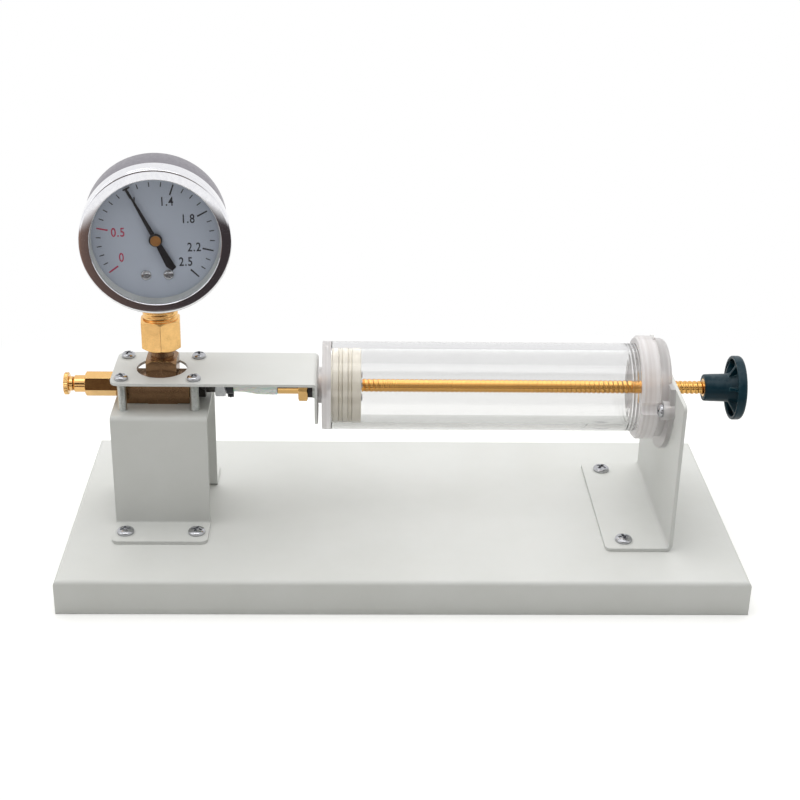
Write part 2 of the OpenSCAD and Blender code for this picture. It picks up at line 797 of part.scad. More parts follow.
module outlet_fitting() {
    color([0.25, 0.24, 0.23]) difference() {
        union() {
            along_axis(tee_right_x) rotate(30) hex_bar(outlet_af, outlet_hex_l, 0.6);
            along_axis(tee_right_x - port_l) cylinder(r = port_r - seat_gap, h = port_l + 1);
            along_axis(tee_right_x + outlet_hex_l - 0.2) cylinder(r = outlet_thread_r, h = line_left - outlet_hex_l - 0.4);
            along_axis(line_x - 1) cylinder(r = outlet_spigot_r, h = outlet_spigot_l + 1);
        }
        along_axis(tee_right_x - port_l - 1) cylinder(r = 1.1, h = line_left + port_l + outlet_spigot_l + 2);
    }
}

module outlet_nut() {
    color(steel) along_axis(line_x - 4.6) rotate(12) difference() {
        hex_bar(10.2, 4.5, 0.8);
        translate([0, 0, -1]) cylinder(r = outlet_thread_r + seat_gap, h = 5);
        translate([0, 0, 3]) cylinder(r = outlet_spigot_r + seat_gap, h = 3);
    }
}

module hose_clip() {
    band_r = hose_small_r + seat_gap;
    color(dark) along_axis(line_x + 0.2) {
        ring(band_r + 1, band_r, clip_w);
        // screw lug under the band
        rotate(25) translate([band_r + 0.5, -1.4, 0.3]) difference() {
            cube([3.6, 2.8, clip_w - 0.6]);
            translate([2.2, -1, (clip_w - 0.6) / 2]) rotate([-90, 0, 0]) cylinder(r = 0.6, h = 5);
        }
    }
}

module air_hose() {
    wall_l = nozzle_collar_x - line_x;
    flare = wall_l - barb_l - 5;
    inner = outlet_spigot_r + seat_gap;
    outer = barb_r + seat_gap;
    start = outlet_spigot_l + 0.5;
    color([0.93, 0.92, 0.88]) along_axis(line_x) rotate_extrude() polygon([
        [inner, 0], [hose_small_r, 0], [hose_small_r, clip_w + 1], [hose_small_r + 0.25, start],
        [hose_big_r - 0.35, flare + 2], [hose_big_r, flare + 5], [hose_big_r, wall_l - 0.1],
        [outer, wall_l - 0.1], [outer, flare + 4.5], [inner, start]
    ]);
}

module nozzle() {
    into_boss = disc_t + boss_l - 1.8;
    color(brass) difference() {
        union() {
            // hose barb with three teeth
            along_axis(nozzle_collar_x - barb_l) for (k = [0 : 2]) translate([0, 0, k * 2.4])
                cylinder(r1 = barb_r - 0.5, r2 = barb_r, h = 2.4);
            along_axis(nozzle_collar_x - barb_l + 7) cylinder(r = barb_r - 0.2, h = 2);
            along_axis(nozzle_collar_x) cylinder(r = nozzle_r, h = nozzle_collar_l + 0.5);
            along_axis(nozzle_hex_x) rotate(30) hex_bar(nozzle_af, nozzle_hex_l, 0.8);
            along_axis(nozzle_hex_x + 1) cylinder(r = nozzle_thread_r, h = plate_right + into_boss - nozzle_hex_x - 1);
        }
        along_axis(nozzle_collar_x - barb_l - 1) cylinder(r = nozzle_air_r, h = plate_right + into_boss - nozzle_collar_x + barb_l + 2);
    }
}

module rubber_washer() {
    color(dark) along_axis(flange_left - washer_t - rubber_t) ring(rubber_r, nozzle_thread_r + seat_gap, rubber_t);
}

module steel_washer() {
    color(steel) along_axis(flange_left - washer_t) ring(washer_r, nozzle_thread_r + seat_gap, washer_t);
}

// ---- cylinder ------------------------------------------------------------

module cylinder_end() {
    color(clear) difference() {
        union() {
            along_axis(plate_right) cylinder(r = boss_r, h = boss_l + 1);
            along_axis(disc_left) cylinder(r = tube_r, h = disc_t);
        }
        along_axis(plate_right - 1) cylinder(r = nozzle_thread_r + seat_gap, h = boss_l + disc_t - 0.8);
        along_axis(disc_left) cylinder(r = nozzle_air_r, h = disc_t + 1);
    }
}

module cylinder_tube() {
    color(clear) along_axis(tube_left) ring(tube_r, bore_r, tube_l);
}

module end_cap() {
    rim_end = cap_left + cap_rim_l;
    color(clear) difference() {
        union() {
            along_axis(cap_left) rotate_extrude() polygon([
                [cap_bore_r, 0], [cap_rim_r - 1, 0], [cap_rim_r, 1], [cap_rim_r, cap_rim_l - 0.6],
                [cap_rim_r - 0.6, cap_rim_l], [cap_body_r, cap_rim_l],
                for (a = [0 : 15 : 90]) [cap_body_r - 2.5 + 2.5 * cos(a), cap_right - cap_left - 2.5 + 2.5 * sin(a)],
                [0, cap_right - cap_left], [0, cap_seat - cap_left], [cap_bore_r, cap_seat - cap_left]
            ]);
            // flange, cut level with the bracket's top
            intersection() {
                along_axis(cap_right - cap_flange_t) cylinder(r = cap_flange_r, h = cap_flange_t);
                translate([cap_left, axis_y - cap_flange_r - 1, tray_h])
                    cube([cap_right - cap_left + 1, 2 * cap_flange_r + 2, bracket_h]);
            }
            // bosses under the screw heads
            for (p = cap_screw_spots()) translate([cap_head_x, axis_y + p[0], axis_z + p[1]])
                rotate([0, 90, 0]) cylinder(r = cap_boss_r, h = cap_boss_l);
            // moulded pip on the rim
            translate([rim_end - 1.6, axis_y - 0.6, axis_z + cap_rim_r - 1]) cube([1.2, 1.2, 2]);
        }
        along_axis(cap_seat - 1) cylinder(r = feed_r + seat_gap, h = cap_wall + 2);
        for (p = cap_screw_spots()) translate([cap_head_x - 1, axis_y + p[0], axis_z + p[1]])
            rotate([0, 90, 0]) cylinder(r = m3_r + hole_gap, h = cap_boss_l + 2);
        // pockets for the screw heads where they reach the cap's body
        for (p = cap_screw_spots()) translate([cap_left - 1, axis_y + p[0], axis_z + p[1]])
            rotate([0, 90, 0]) cylinder(r = m3_head_r + 0.3, h = cap_head_x - cap_left + 1);
    }
}

module feed_nut() {
    color(brass) difference() {
        union() {
            along_axis(cap_seat - feed_flange_l) hex_bar(2 * feed_flange_r * cos(30), feed_flange_l, 0.8);
            along_axis(cap_seat - 0.5) cylinder(r = feed_r, h = cap_wall + bracket_sheet + 1);
            along_axis(bracket_right) cylinder(r1 = feed_collar_r, r2 = feed_collar_r - 0.4, h = feed_collar_l);
        }
        along_axis(cap_seat - 10) cylinder(r = lead_r + lead_gap, h = 30);
    }
}

module cap_screws() {
    color(steel) for (p = cap_screw_spots())
        translate([cap_head_x, axis_y + p[0], axis_z + p[1]]) rotate([0, -90, 0])
            pan_screw(m3_r, cap_boss_l + bracket_sheet + 3.4, m3_head_r, 2.3);
}

module cap_nuts() {
    color(steel) for (p = cap_screw_spots())
        translate([bracket_right, axis_y + p[0], axis_z + p[1]]) rotate([0, 90, 0])
            hex_nut(5.5, 2.4, m3_r + seat_gap);
}

// ---- end bracket ---------------------------------------------------------

module bracket_profile() {
    t = bracket_sheet;
    outer = bracket_bend + t;
    translate([bracket_left, 0]) square([bracket_right - bracket_left - outer, t]);
    translate([bracket_right - outer, outer]) rotate(-90) bend(bracket_bend, t);
    translate([bracket_right - t, outer]) square([t, bracket_h - outer]);
}

module end_bracket() {
    color(paint) difference() {
        intersection() {
            translate([0, bracket_w / 2, tray_h]) rotate([90, 0, 0]) linear_extrude(bracket_w) bracket_profile();
            // rounded corners of the foot
            translate([bracket_left + bracket_foot, 0, tray_h - 1]) linear_extrude(bracket_h + 2)
                round_rect(2 * bracket_foot, bracket_w, flange_corner_r);
            // rounded top corners of the upright
            translate([bracket_left - 1, 0, tray_h]) rotate([90, 0, 90]) linear_extrude(bracket_foot + 2)
                round_rect(bracket_w, 2 * bracket_h, flange_corner_r);
        }
        for (p = bracket_screw_spots()) translate([p[0], p[1], tray_h - 1]) cylinder(r = m4_r + hole_gap, h = 5);
        along_axis(cap_right - 1) cylinder(r = feed_r + hole_gap, h = 5);
        for (p = cap_screw_spots()) translate([cap_right - 1, axis_y + p[0], axis_z + p[1]])
            rotate([0, 90, 0]) cylinder(r = m3_r + hole_gap, h = 5);
    }
}

module bracket_screws() {
    color(steel) for (p = bracket_screw_spots()) translate([p[0], p[1], tray_h + bracket_sheet])
        pan_screw(m4_r, 8, m4_head_r, 2.2);
}

module bracket_nuts() {
    color(steel) for (p = bracket_screw_spots()) translate([p[0], p[1], tray_h - tray_sheet - 3.2])
        hex_nut(7, 3.2, m4_r + seat_gap);
}

// ---- piston, lead screw and knob -----------------------------------------

function ring_stations() = [for (k = [0.3, 0.62]) piston_left + k * piston_l];

module piston() {
    groove = ring_r + 0.15;
    color([0.80, 0.79, 0.72]) difference() {
        along_axis(piston_left) union() {
            cylinder(r1 = piston_r - 0.5, r2 = piston_r, h = 0.5);
            translate([0, 0, 0.5]) cylinder(r = piston_r, h = piston_l - 1);
            translate([0, 0, piston_l - 0.5]) cylinder(r1 = piston_r, r2 = piston_r - 0.5, h = 0.5);
        }
        for (x = ring_stations()) along_axis(x - groove) ring(piston_r + 1, piston_r - 2 * ring_r, 2 * groove);
        along_axis(head_left - free_gap) cylinder(r = head_r + spin_gap, h = 20);
        along_axis(piston_right - retainer_t) cylinder(r = retainer_r + seat_gap, h = 5);
        for (k = [0 : 2]) along_axis(piston_right - 7) rotate(120 * k) translate([6, 0, 0])
            cylinder(r = 1 + seat_gap, h = 6);
    }
}

module piston_rings() {
    color(dark) for (x = ring_stations()) along_axis(x) rotate_extrude()
        translate([piston_r - ring_r + 0.02, 0]) circle(ring_r, $fn = 32);
}

module piston_retainer() {
    color(brass) along_axis(piston_right - retainer_t) difference() {
        ring(retainer_r, neck_r + spin_gap, retainer_t);
        for (k = [0 : 2]) rotate(120 * k) translate([6, 0, -1]) cylinder(r = 1 + seat_gap, h = 4);
    }
}

module retainer_screws() {
    color(steel) for (k = [0 : 2]) along_axis(piston_right) rotate(120 * k) translate([6, 0, 0])
        pan_screw(1, 6, 1.8, 0.8);
}

module lead_screw() {
    color(brass) {
        along_axis(head_left) cylinder(r = head_r, h = head_l);
        along_axis(head_right - 0.1) cylinder(r = neck_r, h = piston_right + free_gap - head_right + 0.2);
        along_axis(piston_right + free_gap) cylinder(r = lead_r, h = shoulder_x - piston_right - free_gap);
        along_axis(shoulder_x - 0.1) cylinder(r = spigot_r, h = spigot_l + 0.1);
    }
}

module hand_knob() {
    back = hub_l + wheel_t + 2.4;
    rim_x = back - 1.2 - rim_l;
    color([0.06, 0.25, 0.27]) along_axis(knob_left) difference() {
        union() {
            // hub, dish and domed face in one turning
            rotate_extrude() polygon([
                [0, 0], [hub_r - 1, 0], [hub_r, 1], [hub_r, hub_l - 2.6], [hub_r + 0.6, hub_l - 1.2],
                [hub_r + 2.2, hub_l + 0.6], [wheel_r - 2.2, hub_l + 0.9], [wheel_r - 2.2, rim_x + 0.4],
                [wheel_r - 1.8, rim_x], [wheel_r - 0.8, rim_x], [wheel_r, rim_x + 1], [wheel_r, back - 2.4],
                for (a = [0 : 15 : 75]) [wheel_r - 1.6 + 1.6 * cos(a), back - 2.4 + 1.6 * sin(a)],
                [wheel_r * 0.55, back - 0.25], [0, back]
            ]);
            // ribs between the hub and the rim
            for (k = [0 : wheel_ribs - 1]) rotate(360 / wheel_ribs * k + 12)
                translate([0, 0, hub_l + 1.5]) rotate([90, 0, 0]) translate([0, 0, -0.7]) linear_extrude(1.4)
                    polygon([[hub_r - 1, 0], [hub_r - 1, -4.2], [wheel_r - 2, -4.2 + 2.2], [wheel_r - 2, 0]]);
        }
        translate([0, 0, -1]) cylinder(r = lead_r + 1.1, h = 1.9);
        translate([0, 0, -1]) cylinder(r = lead_r + seat_gap, h = 4);
        cylinder(r = spigot_r + seat_gap, h = 3 + spigot_l + 0.2);
    }
}

// ---- gauge movement ------------------------------------------------------

module gauge_pointer() {
    bar_w = 3.2;
    tail_l = 15.2;
    color(dark) in_gauge(pointer_d) rotate(pointer_rest - 90) difference() {
        union() {
            linear_extrude(pointer_t) {
                polygon([[0, -0.9], [pointer_l - 0.6, -0.25], [pointer_l - 0.6, 0.25], [0, 0.9]]);
                translate([pointer_l - 0.8, -bar_w / 2]) square([0.8, bar_w]);
                polygon([[0, -0.8], [-tail_l, -1.9], [-tail_l + 1.2, 1.9], [0, 0.8]]);
            }
            translate([0, 0, -0.2]) cylinder(r = 2.9, h = pointer_t + 0.2);
        }
        translate([0, 0, -1]) cylinder(r = arbor_r + seat_gap, h = 3);
    }
}

module pointer_arbor() {
    color(brass) {
        in_gauge(boss_d) cylinder(r = 2.2, h = pointer_d - 0.2 - boss_d);
        in_gauge(boss_d) cylinder(r = arbor_r, h = back_plate_d + movement_t - boss_d);
        in_gauge(gear_d - 0.2) linear_extrude(gear_t + 0.4) {
            circle(pinion_teeth * tooth_module / 2 - tooth_module);
            teeth(pinion_teeth, 0, pinion_teeth - 1, sector_dir + 180 / pinion_teeth, tooth_module * 0.75, tooth_module);
        }
    }
}

module sector_gear() {
    pitch_r = sector_teeth * tooth_module / 2;
    step = 360 / sector_teeth;
    back = sector_dir + 180;
    body_r = pitch_r - tooth_module;
    fan = [for (a = [-5 : 7]) [cos(back + a * step), sin(back + a * step)]];
    color(brass) {
        in_gauge(gear_d) translate(sector_at) linear_extrude(gear_t) {
            difference() {
                polygon(concat([[0, 0]], [for (v = fan) body_r * v]));
                // window in the sector's web
                polygon(concat(
                    [for (v = [for (a = [-3 : 5]) [cos(back + a * step), sin(back + a * step)]]) (body_r - 2.4) * v],
                    [for (v = [for (a = [4 : -1 : -2]) [cos(back + a * step), sin(back + a * step)]]) 6 * v]
                ));
            }
            circle(2.6);
            teeth(sector_teeth, -4, 6, back, tooth_module * 0.7, tooth_module);
            // tail that the link pulls
            rotate(tail_dir) translate([0, -1.1]) square([tail_l, 2.2]);
            rotate(tail_dir) translate([tail_l, 0]) circle(1.5);
        }
        in_gauge(front_plate_d) translate(sector_at) cylinder(r = arbor_r, h = back_plate_d + movement_t - front_plate_d);
        in_gauge(gear_d) translate(tail_at) cylinder(r = 0.6, h = link_d + link_t - gear_d);
    }
}

module movement_link() {
    run = tip_at - tail_at;
    long = norm(run);
    color(brass) in_gauge(link_d) translate(tail_at) rotate(atan2(run[1], run[0])) difference() {
        linear_extrude(link_t) {
            translate([0, -0.7]) square([long, 1.4]);
            circle(1.3);
            translate([long, 0]) circle(1.3);
        }
        translate([0, 0, -1]) cylinder(r = 0.6 + spin_gap, h = 4);
    }
}

base_tray();
tee_stand();
foot_screws();
foot_nuts();
standoffs();
carrier_plate();
carrier_screws();
carrier_nuts();
tee_block();
tee_screw();
gauge_nut();
gauge_socket();
gauge_case();
gauge_bezel();
gauge_lens();
dial_ring();
gauge_dial();
dial_screws();
movement_front();
movement_back();
bourdon_tube();
valve_body();
outlet_fitting();
outlet_nut();
hose_clip();
air_hose();
nozzle();
rubber_washer();
steel_washer();
cylinder_end();
cylinder_tube();
end_cap();
feed_nut();
cap_screws();
cap_nuts();
end_bracket();
bracket_screws();
bracket_nuts();
piston();
piston_rings();
piston_retainer();
retainer_screws();
lead_screw();
hand_knob();
valve_seal();
valve_screw();
gauge_pointer();
pointer_arbor();
sector_gear();
movement_link();
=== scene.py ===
"""Looks of a gas law apparatus: a screw-driven piston in a clear cylinder, a pressure
gauge on a brass tee with a release valve, and a folded steel base in powder paint.

Lengths are millimetres until make_piece() turns them into metres. The stage at the
end, with its lamps and the camera, is in metres.
"""

import math

import bmesh
import bpy
from mathutils import Matrix, Vector


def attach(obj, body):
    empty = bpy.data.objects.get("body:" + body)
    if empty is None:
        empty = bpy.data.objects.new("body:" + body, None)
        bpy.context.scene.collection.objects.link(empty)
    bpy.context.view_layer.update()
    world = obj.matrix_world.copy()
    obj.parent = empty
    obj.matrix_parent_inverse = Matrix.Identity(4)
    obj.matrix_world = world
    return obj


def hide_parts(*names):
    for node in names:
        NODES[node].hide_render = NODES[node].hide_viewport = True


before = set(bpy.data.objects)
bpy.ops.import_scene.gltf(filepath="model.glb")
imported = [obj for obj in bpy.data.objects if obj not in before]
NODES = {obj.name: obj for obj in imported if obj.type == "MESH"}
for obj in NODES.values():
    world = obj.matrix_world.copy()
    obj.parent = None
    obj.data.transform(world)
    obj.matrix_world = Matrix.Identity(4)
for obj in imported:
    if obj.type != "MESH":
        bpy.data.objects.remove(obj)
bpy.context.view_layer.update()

MM = 0.001  # metres

# --- stations of the part ---
AXIS_Y, AXIS_Z = 2.3, 76.8
STAND_X, COLUMN_X = -108.4, -108.0
TRAY_TOP, THICK_SHEET = 16.0, 1.5
STAND_Y, STAND_TOP, PLATE_UNDER, PLATE_TOP = 0.6, 70.0, 83.6, 84.8
GAUGE_Z, GAUGE_TURN, STEM_DEPTH, DIAL_DEPTH = 149.3, 6.0, 16.9, 7.0
TUBE_LEFT, TUBE_RIGHT, TUBE_R, BORE_R = -32.5, 113.0, 20.0, 17.0
PISTON_LEFT, PISTON_LONG = -32.2, 13.1
PISTON_RIGHT = PISTON_LEFT + PISTON_LONG
KNOB_LEFT, LINE_X, VALVE_X = 136.8, -80.0, -151.35
POINTER_REST = -26.0


# --- shapes ---
def rotated(degrees, axis):
    """A turn about an axis through the origin."""
    return Matrix.Rotation(math.radians(degrees), 4, axis)


def shifted(x, y, z):
    return Matrix.Translation((x, y, z))


def on_axis(x, turn=0.0):
    """Local Z runs along the cylinder from station x, turned about it."""
    return shifted(x, AXIS_Y, AXIS_Z) @ rotated(90, "Y") @ rotated(turn, "Z")


def upright(x, y, z, turn=0.0):
    """Local Z runs straight up from a point."""
    return shifted(x, y, z) @ rotated(turn, "Z")


def in_gauge(depth):
    """Local Z runs to the back of the gauge from a depth, X right and Y down."""
    column = shifted(COLUMN_X, AXIS_Y, 0) @ rotated(GAUGE_TURN, "Z")
    return column @ shifted(0, depth - STEM_DEPTH, GAUGE_Z) @ rotated(-90, "X")


def circle(radius, z, steps):
    """Points of a full circle at one height."""
    angles = [2 * math.pi * k / steps for k in range(steps)]
    return [(radius * math.cos(a), radius * math.sin(a), z) for a in angles]


def arc(cx, cy, r, start, end, steps):
    """Points of an arc, in degrees from the first axis."""
    angles = [
        math.radians(start + (end - start) * k / steps) for k in range(steps + 1)
    ]
    return [(cx + r * math.cos(a), cy + r * math.sin(a)) for a in angles]


def eased(points, radius, steps=4, closed=False):
    """A run of points with its corners rounded off."""
    out = []
    count = len(points)
    for k, here in enumerate(points):
        if not closed and k in (0, count - 1):
            out.append(here)
            continue
        p = Vector(here)
        to_last = Vector(points[k - 1]) - p
        to_next = Vector(points[(k + 1) % count]) - p
        size = radius[k] if isinstance(radius, (list, tuple)) else radius
        if size <= 0 or to_last.length < 1e-6 or to_next.length < 1e-6:
            out.append(here)
            continue
        cut = min(size, to_last.length * 0.45, to_next.length * 0.45)
        a = p + to_last.normalized() * cut
        b = p + to_next.normalized() * cut
        for s in range(steps + 1):
            t = s / steps
            q = a * (1 - t) ** 2 + p * 2 * t * (1 - t) + b * t**2
            out.append((q.x, q.y))
    return out


def turned(profile, steps=96, loop=False, wobble=None):
    """A turning from (radius, height) points; loop closes the run into a ring."""
    rings, verts, faces = [], [], []
    for r, z in profile:
        if r < 1e-6:
            rings.append([len(verts)] * steps)
            verts.append((0, 0, z))
            continue
        rings.append(list(range(len(verts), len(verts) + steps)))
        for k in range(steps):
            a = 2 * math.pi * k / steps
            size = r * (wobble(a, z) if wobble else 1)
            verts.append((size * math.cos(a), size * math.sin(a), z))
    pairs = list(zip(rings, rings[1:]))
    if loop:
        pairs.append((rings[-1], rings[0]))
    for low, high in pairs:
        for k in range(steps):
            n = (k + 1) % steps
            corners = [low[k], low[n], high[n], high[k]]
            corners = [c for i, c in enumerate(corners) if c not in corners[:i]]
            if len(corners) > 2:
                faces.append(corners)
    return verts, faces


def prism(outline, low, high):
    """A flat outline pushed from one height to another."""
    count = len(outline)
    verts = [(x, y, low) for x, y in outline] + [(x, y, high) for x, y in outline]
    faces = [list(range(count))[::-1], list(range(count, 2 * count))]
    faces += [
        [k, (k + 1) % count, count + (k + 1) % count, count + k] for k in range(count)
    ]
    return verts, faces


def moved(shape, matrix):
    """The same shape in another place."""
    verts, faces = shape
    return [tuple(matrix @ Vector(v)) for v in verts], faces


def joined(*shapes):
    """Several shapes as one."""
    verts, faces = [], []
    for v, f in shapes:
        faces += [[i + len(verts) for i in face] for face in f]
        verts += v
    return verts, faces


def make_piece(name, shape, finish, body="apparatus", replaces=None, sharp=32):
    """One visible piece from a shape in millimetres, riding on a CAD body."""
    verts, faces = shape
    mesh = bpy.data.meshes.new(name)
    mesh.from_pydata([tuple(c * MM for c in v) for v in verts], [], faces)
    work = bmesh.new()
    work.from_mesh(mesh)
    bmesh.ops.remove_doubles(work, verts=work.verts, dist=1e-7)
    bmesh.ops.dissolve_degenerate(work, edges=work.edges, dist=1e-8)
    bmesh.ops.recalc_face_normals(work, faces=work.faces)
    work.to_mesh(mesh)
    work.free()
    mesh.polygons.foreach_set("use_smooth", [True] * len(mesh.polygons))
    mesh.set_sharp_from_angle(angle=math.radians(sharp))
    mesh.materials.append(MATERIALS[finish])
    piece = bpy.data.objects.new(name, mesh)
    bpy.context.scene.collection.objects.link(piece)
    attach(piece, body)
    if replaces:
        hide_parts(replaces)
    return piece


def thread_form(share):
    """Depth of the thread over one turn: 0 on the crest and 1 at the root."""
    if share < 0.30:
        return 0.0
    if share < 0.55:
        return 0.5 - 0.5 * math.cos(math.pi * (share - 0.30) / 0.25)
    if share < 0.75:
        return 1.0
    return 0.5 + 0.5 * math.cos(math.pi * (share - 0.75) / 0.25)


def screw_thread(low, high, outer, depth, pitch, steps, rows):
    """A helical thread between two heights, cut square at both ends and capped."""
    turns = math.ceil((high - low) / pitch) + 2
    verts, faces = [], []
    for j in range(turns * rows + 1):
        for k in range(steps):
            a = 2 * math.pi * k / steps
            z = low - pitch + (j / rows + k / steps) * pitch
            r = outer - thread_form((j % rows) / rows) * depth
            verts.append((r * math.cos(a), r * math.sin(a), z))
    for j in range(turns * rows):
        for k in range(steps):
            here = j * steps + k
            if k < steps - 1:
                faces.append([here, here + 1, here + steps + 1, here + steps])
            elif j + rows + 1 <= turns * rows:
                other = (j + rows) * steps
                faces.append([here, other, other + steps, here + steps])
    work = bmesh.new()
    made = [work.verts.new(v) for v in verts]
    for face in faces:
        work.faces.new([made[i] for i in face])
    for z, normal in ((low, (0, 0, -1)), (high, (0, 0, 1))):
        bmesh.ops.bisect_plane(
            work,
            geom=work.verts[:] + work.edges[:] + work.faces[:],
            plane_co=(0, 0, z),
            plane_no=normal,
            clear_outer=True,
            dist=1e-5,
        )
    loose = [v for v in work.verts if not v.link_faces]
    bmesh.ops.delete(work, geom=loose, context="VERTS")
    work.verts.ensure_lookup_table()
    rim = [e for e in work.edges if e.is_boundary]
    bmesh.ops.holes_fill(work, edges=rim, sides=0)
    work.verts.index_update()
    verts = [tuple(v.co) for v in work.verts]
    faces = [[v.index for v in f.verts] for f in work.faces]
    work.free()
    return verts, faces


def smooth_step(value):
    """Rises from 0 to 1 with soft ends."""
    value = min(max(value, 0.0), 1.0)
    return value * value * (3 - 2 * value)


def cross_recess_head(head_r, head_h, steps=120, rings=44):
    """Pan head of a screw, from its flat underside, with a tapered cross recess."""
    half, arm, deep = head_r * 0.15, head_r * 0.60, head_h * 0.92
    verts, faces = [(0, 0, 0)], []

    def top(x, y):
        rho = min(math.hypot(x, y) / head_r, 1.0)
        dome = head_h * (0.34 + 0.66 * math.sqrt(max(0.0, 1 - rho**2.6)))
        x, y = abs(x), abs(y)
        beam = min(max(x - half, y - arm), max(y - half, x - arm))
        flare = max(x, y) / arm
        sink = smooth_step(0.5 - beam / (0.045 * head_r))
        return dome - sink * deep * (1 - 0.45 * min(flare, 1.0) ** 2)

    for j in range(rings + 1):
        share = j / rings
        r = head_r * (1 - (1 - share) ** 1.25)
        for k in range(steps):
            a = 2 * math.pi * k / steps
            x, y = r * math.cos(a), r * math.sin(a)
            verts.append((x, y, top(x, y)) if j else (0, 0, top(0, 0)))
    for j in range(rings):
        for k in range(steps):
            n = (k + 1) % steps
            a, b = 1 + j * steps, 1 + (j + 1) * steps
            quad = [a + k, b + k, b + n, a + n]
            faces.append(quad if j else [a, b + k, b + n])
    rim = 1 + rings * steps
    under = len(verts)
    verts += circle(head_r * 0.97, 0, steps)
    for k in range(steps):
        n = (k + 1) % steps
        faces.append([rim + k, under + k, under + n, rim + n])
        faces.append([under + k, 0, under + n])
    return verts, faces


def pan_screw(shank_r, length, head_r, head_h, pitch):
    """Pan head screw: head above the origin and threaded shank below."""
    thread = screw_thread(-length, 0.02, shank_r, pitch * 0.55, pitch, steps=28, rows=5)
    return joined(cross_recess_head(head_r, head_h), thread)


# --- colours and shader nodes ---
def paint(red, green, blue):
    """A colour as it looks on screen, as the shader's linear numbers."""
    return tuple(
        (c / 255 / 12.92 if c <= 10 else ((c / 255 + 0.055) / 1.055) ** 2.4)
        for c in (red, green, blue)
    ) + (1.0,)


def feed(tree, socket, value):
    """Links another node's output to a socket, or sets a plain value on it."""
    if isinstance(value, bpy.types.NodeSocket):
        tree.links.new(value, socket)
    else:
        socket.default_value = value


def put(tree, kind, inputs=None, **settings):
    """Adds a node, sets it, and links or fills its inputs."""
    node = tree.nodes.new(kind)
    for key, value in settings.items():
        setattr(node, key, value)
    for key, value in (inputs or {}).items():
        feed(tree, node.inputs[key], value)
    return node


def maths(tree, operation, a, b, clamp=False):
    """A sum on two numbers, each plain or from another node."""
    settings = {"operation": operation, "use_clamp": clamp}
    return put(tree, "ShaderNodeMath", {0: a, 1: b}, **settings).outputs[0]


def times(tree, a, b, clamp=False):
    return maths(tree, "MULTIPLY", a, b, clamp)


def on_vectors(tree, operation, a, b=None):
    """A sum on vectors; its outputs hold "Vector" and "Value"."""
    inputs = {0: a} if b is None else {0: a, 1: b}
    return put(tree, "ShaderNodeVectorMath", inputs, operation=operation).outputs


def spread(tree, value, low, high, to_low=0.0, to_high=1.0):
    """Stretches a value from one range to another, and holds it there."""
    inputs = dict(enumerate((value, low, high, to_low, to_high)))
    return put(tree, "ShaderNodeMapRange", inputs).outputs["Result"]


def blended(tree, share, a, b):
    """One colour laid over another by a share from 0 to 1."""
    inputs = {"Factor": share, 6: a, 7: b}
    return put(tree, "ShaderNodeMix", inputs, data_type="RGBA").outputs[2]


def clouds(tree, where, size_mm, detail, rough):
    """Cloudy noise with patches of about this size."""
    scale = maths(tree, "DIVIDE", 1 / MM, size_mm)
    inputs = {"Vector": where, "Scale": scale, "Detail": detail, "Roughness": rough}
    return put(tree, "ShaderNodeTexNoise", inputs).outputs["Fac"]


def object_point(tree):
    """Where a point lies on the object, in metres."""
    return put(tree, "ShaderNodeTexCoord").outputs["Object"]


def new_group(name, inputs, outputs):
    """A shared effect. Inputs are (name, kind, value); outputs are (name, kind)."""
    group = bpy.data.node_groups.new(name, "ShaderNodeTree")
    for label, kind, value in inputs:
        socket = group.interface.new_socket(label, in_out="INPUT", socket_type=kind)
        if value is not None:
            socket.default_value = value
    for label, kind in outputs:
        group.interface.new_socket(label, in_out="OUTPUT", socket_type=kind)
    begin = group.nodes.new("NodeGroupInput")
    end = group.nodes.new("NodeGroupOutput")
    return group, begin.outputs, end.inputs


def place(tree, group, **values):
    """A shared effect in a material; Patch_mm=4 fills its input "Patch mm"."""
    inputs = {key.replace("_", " "): value for key, value in values.items()}
    return put(tree, "ShaderNodeGroup", inputs, node_tree=group).outputs


FLOAT, POINT = "NodeSocketFloat", "NodeSocketVector"
ALONG, INWARD, UP = (1.0, 0.0, 0.0), (0.0, 1.0, 0.0), (0.0, 0.0, 1.0)


def grain_group():
    """Fine grain at a given size, stretched along the axes."""
    group, given, out = new_group(
        "Fine grain",
        [
            ("Size mm", FLOAT, 1.0),
            ("Stretch", POINT, (1.0, 1.0, 1.0)),
            ("Softness", FLOAT, 0.5),
        ],
        [("Height", FLOAT), ("Mask", FLOAT)],
    )
    shaped = on_vectors(group, "MULTIPLY", object_point(group), given["Stretch"])
    noise = clouds(group, shaped["Vector"], given["Size mm"], 4.0, given["Softness"])
    group.links.new(noise, out["Height"])
    group.links.new(spread(group, noise, 0.35, 0.65), out["Mask"])
    return group


def edge_wear_group():
    """Where edges are rubbed: found from the rounding of the normal, and broken up."""
    group, given, out = new_group(
        "Edge wear",
        [("Width mm", FLOAT, 0.5), ("Amount", FLOAT, 1.0), ("Patch mm", FLOAT, 4.0)],
        [("Mask", FLOAT), ("Normal", POINT)],
    )
    width = times(group, given["Width mm"], MM)
    rounded = put(group, "ShaderNodeBevel", {"Radius": width}, samples=4).outputs[0]
    flat = put(group, "ShaderNodeNewGeometry").outputs["Normal"]
    same = on_vectors(group, "DOT_PRODUCT", rounded, flat)["Value"]
    patch = clouds(group, object_point(group), given["Patch mm"], 5.0, 0.65)
    broken = spread(group, patch, 0.42, 0.62, 0.15, 1.0)
    mask = times(group, spread(group, same, 0.995, 0.90), broken)
    group.links.new(times(group, mask, given["Amount"], clamp=True), out["Mask"])
    group.links.new(rounded, out["Normal"])
    return group


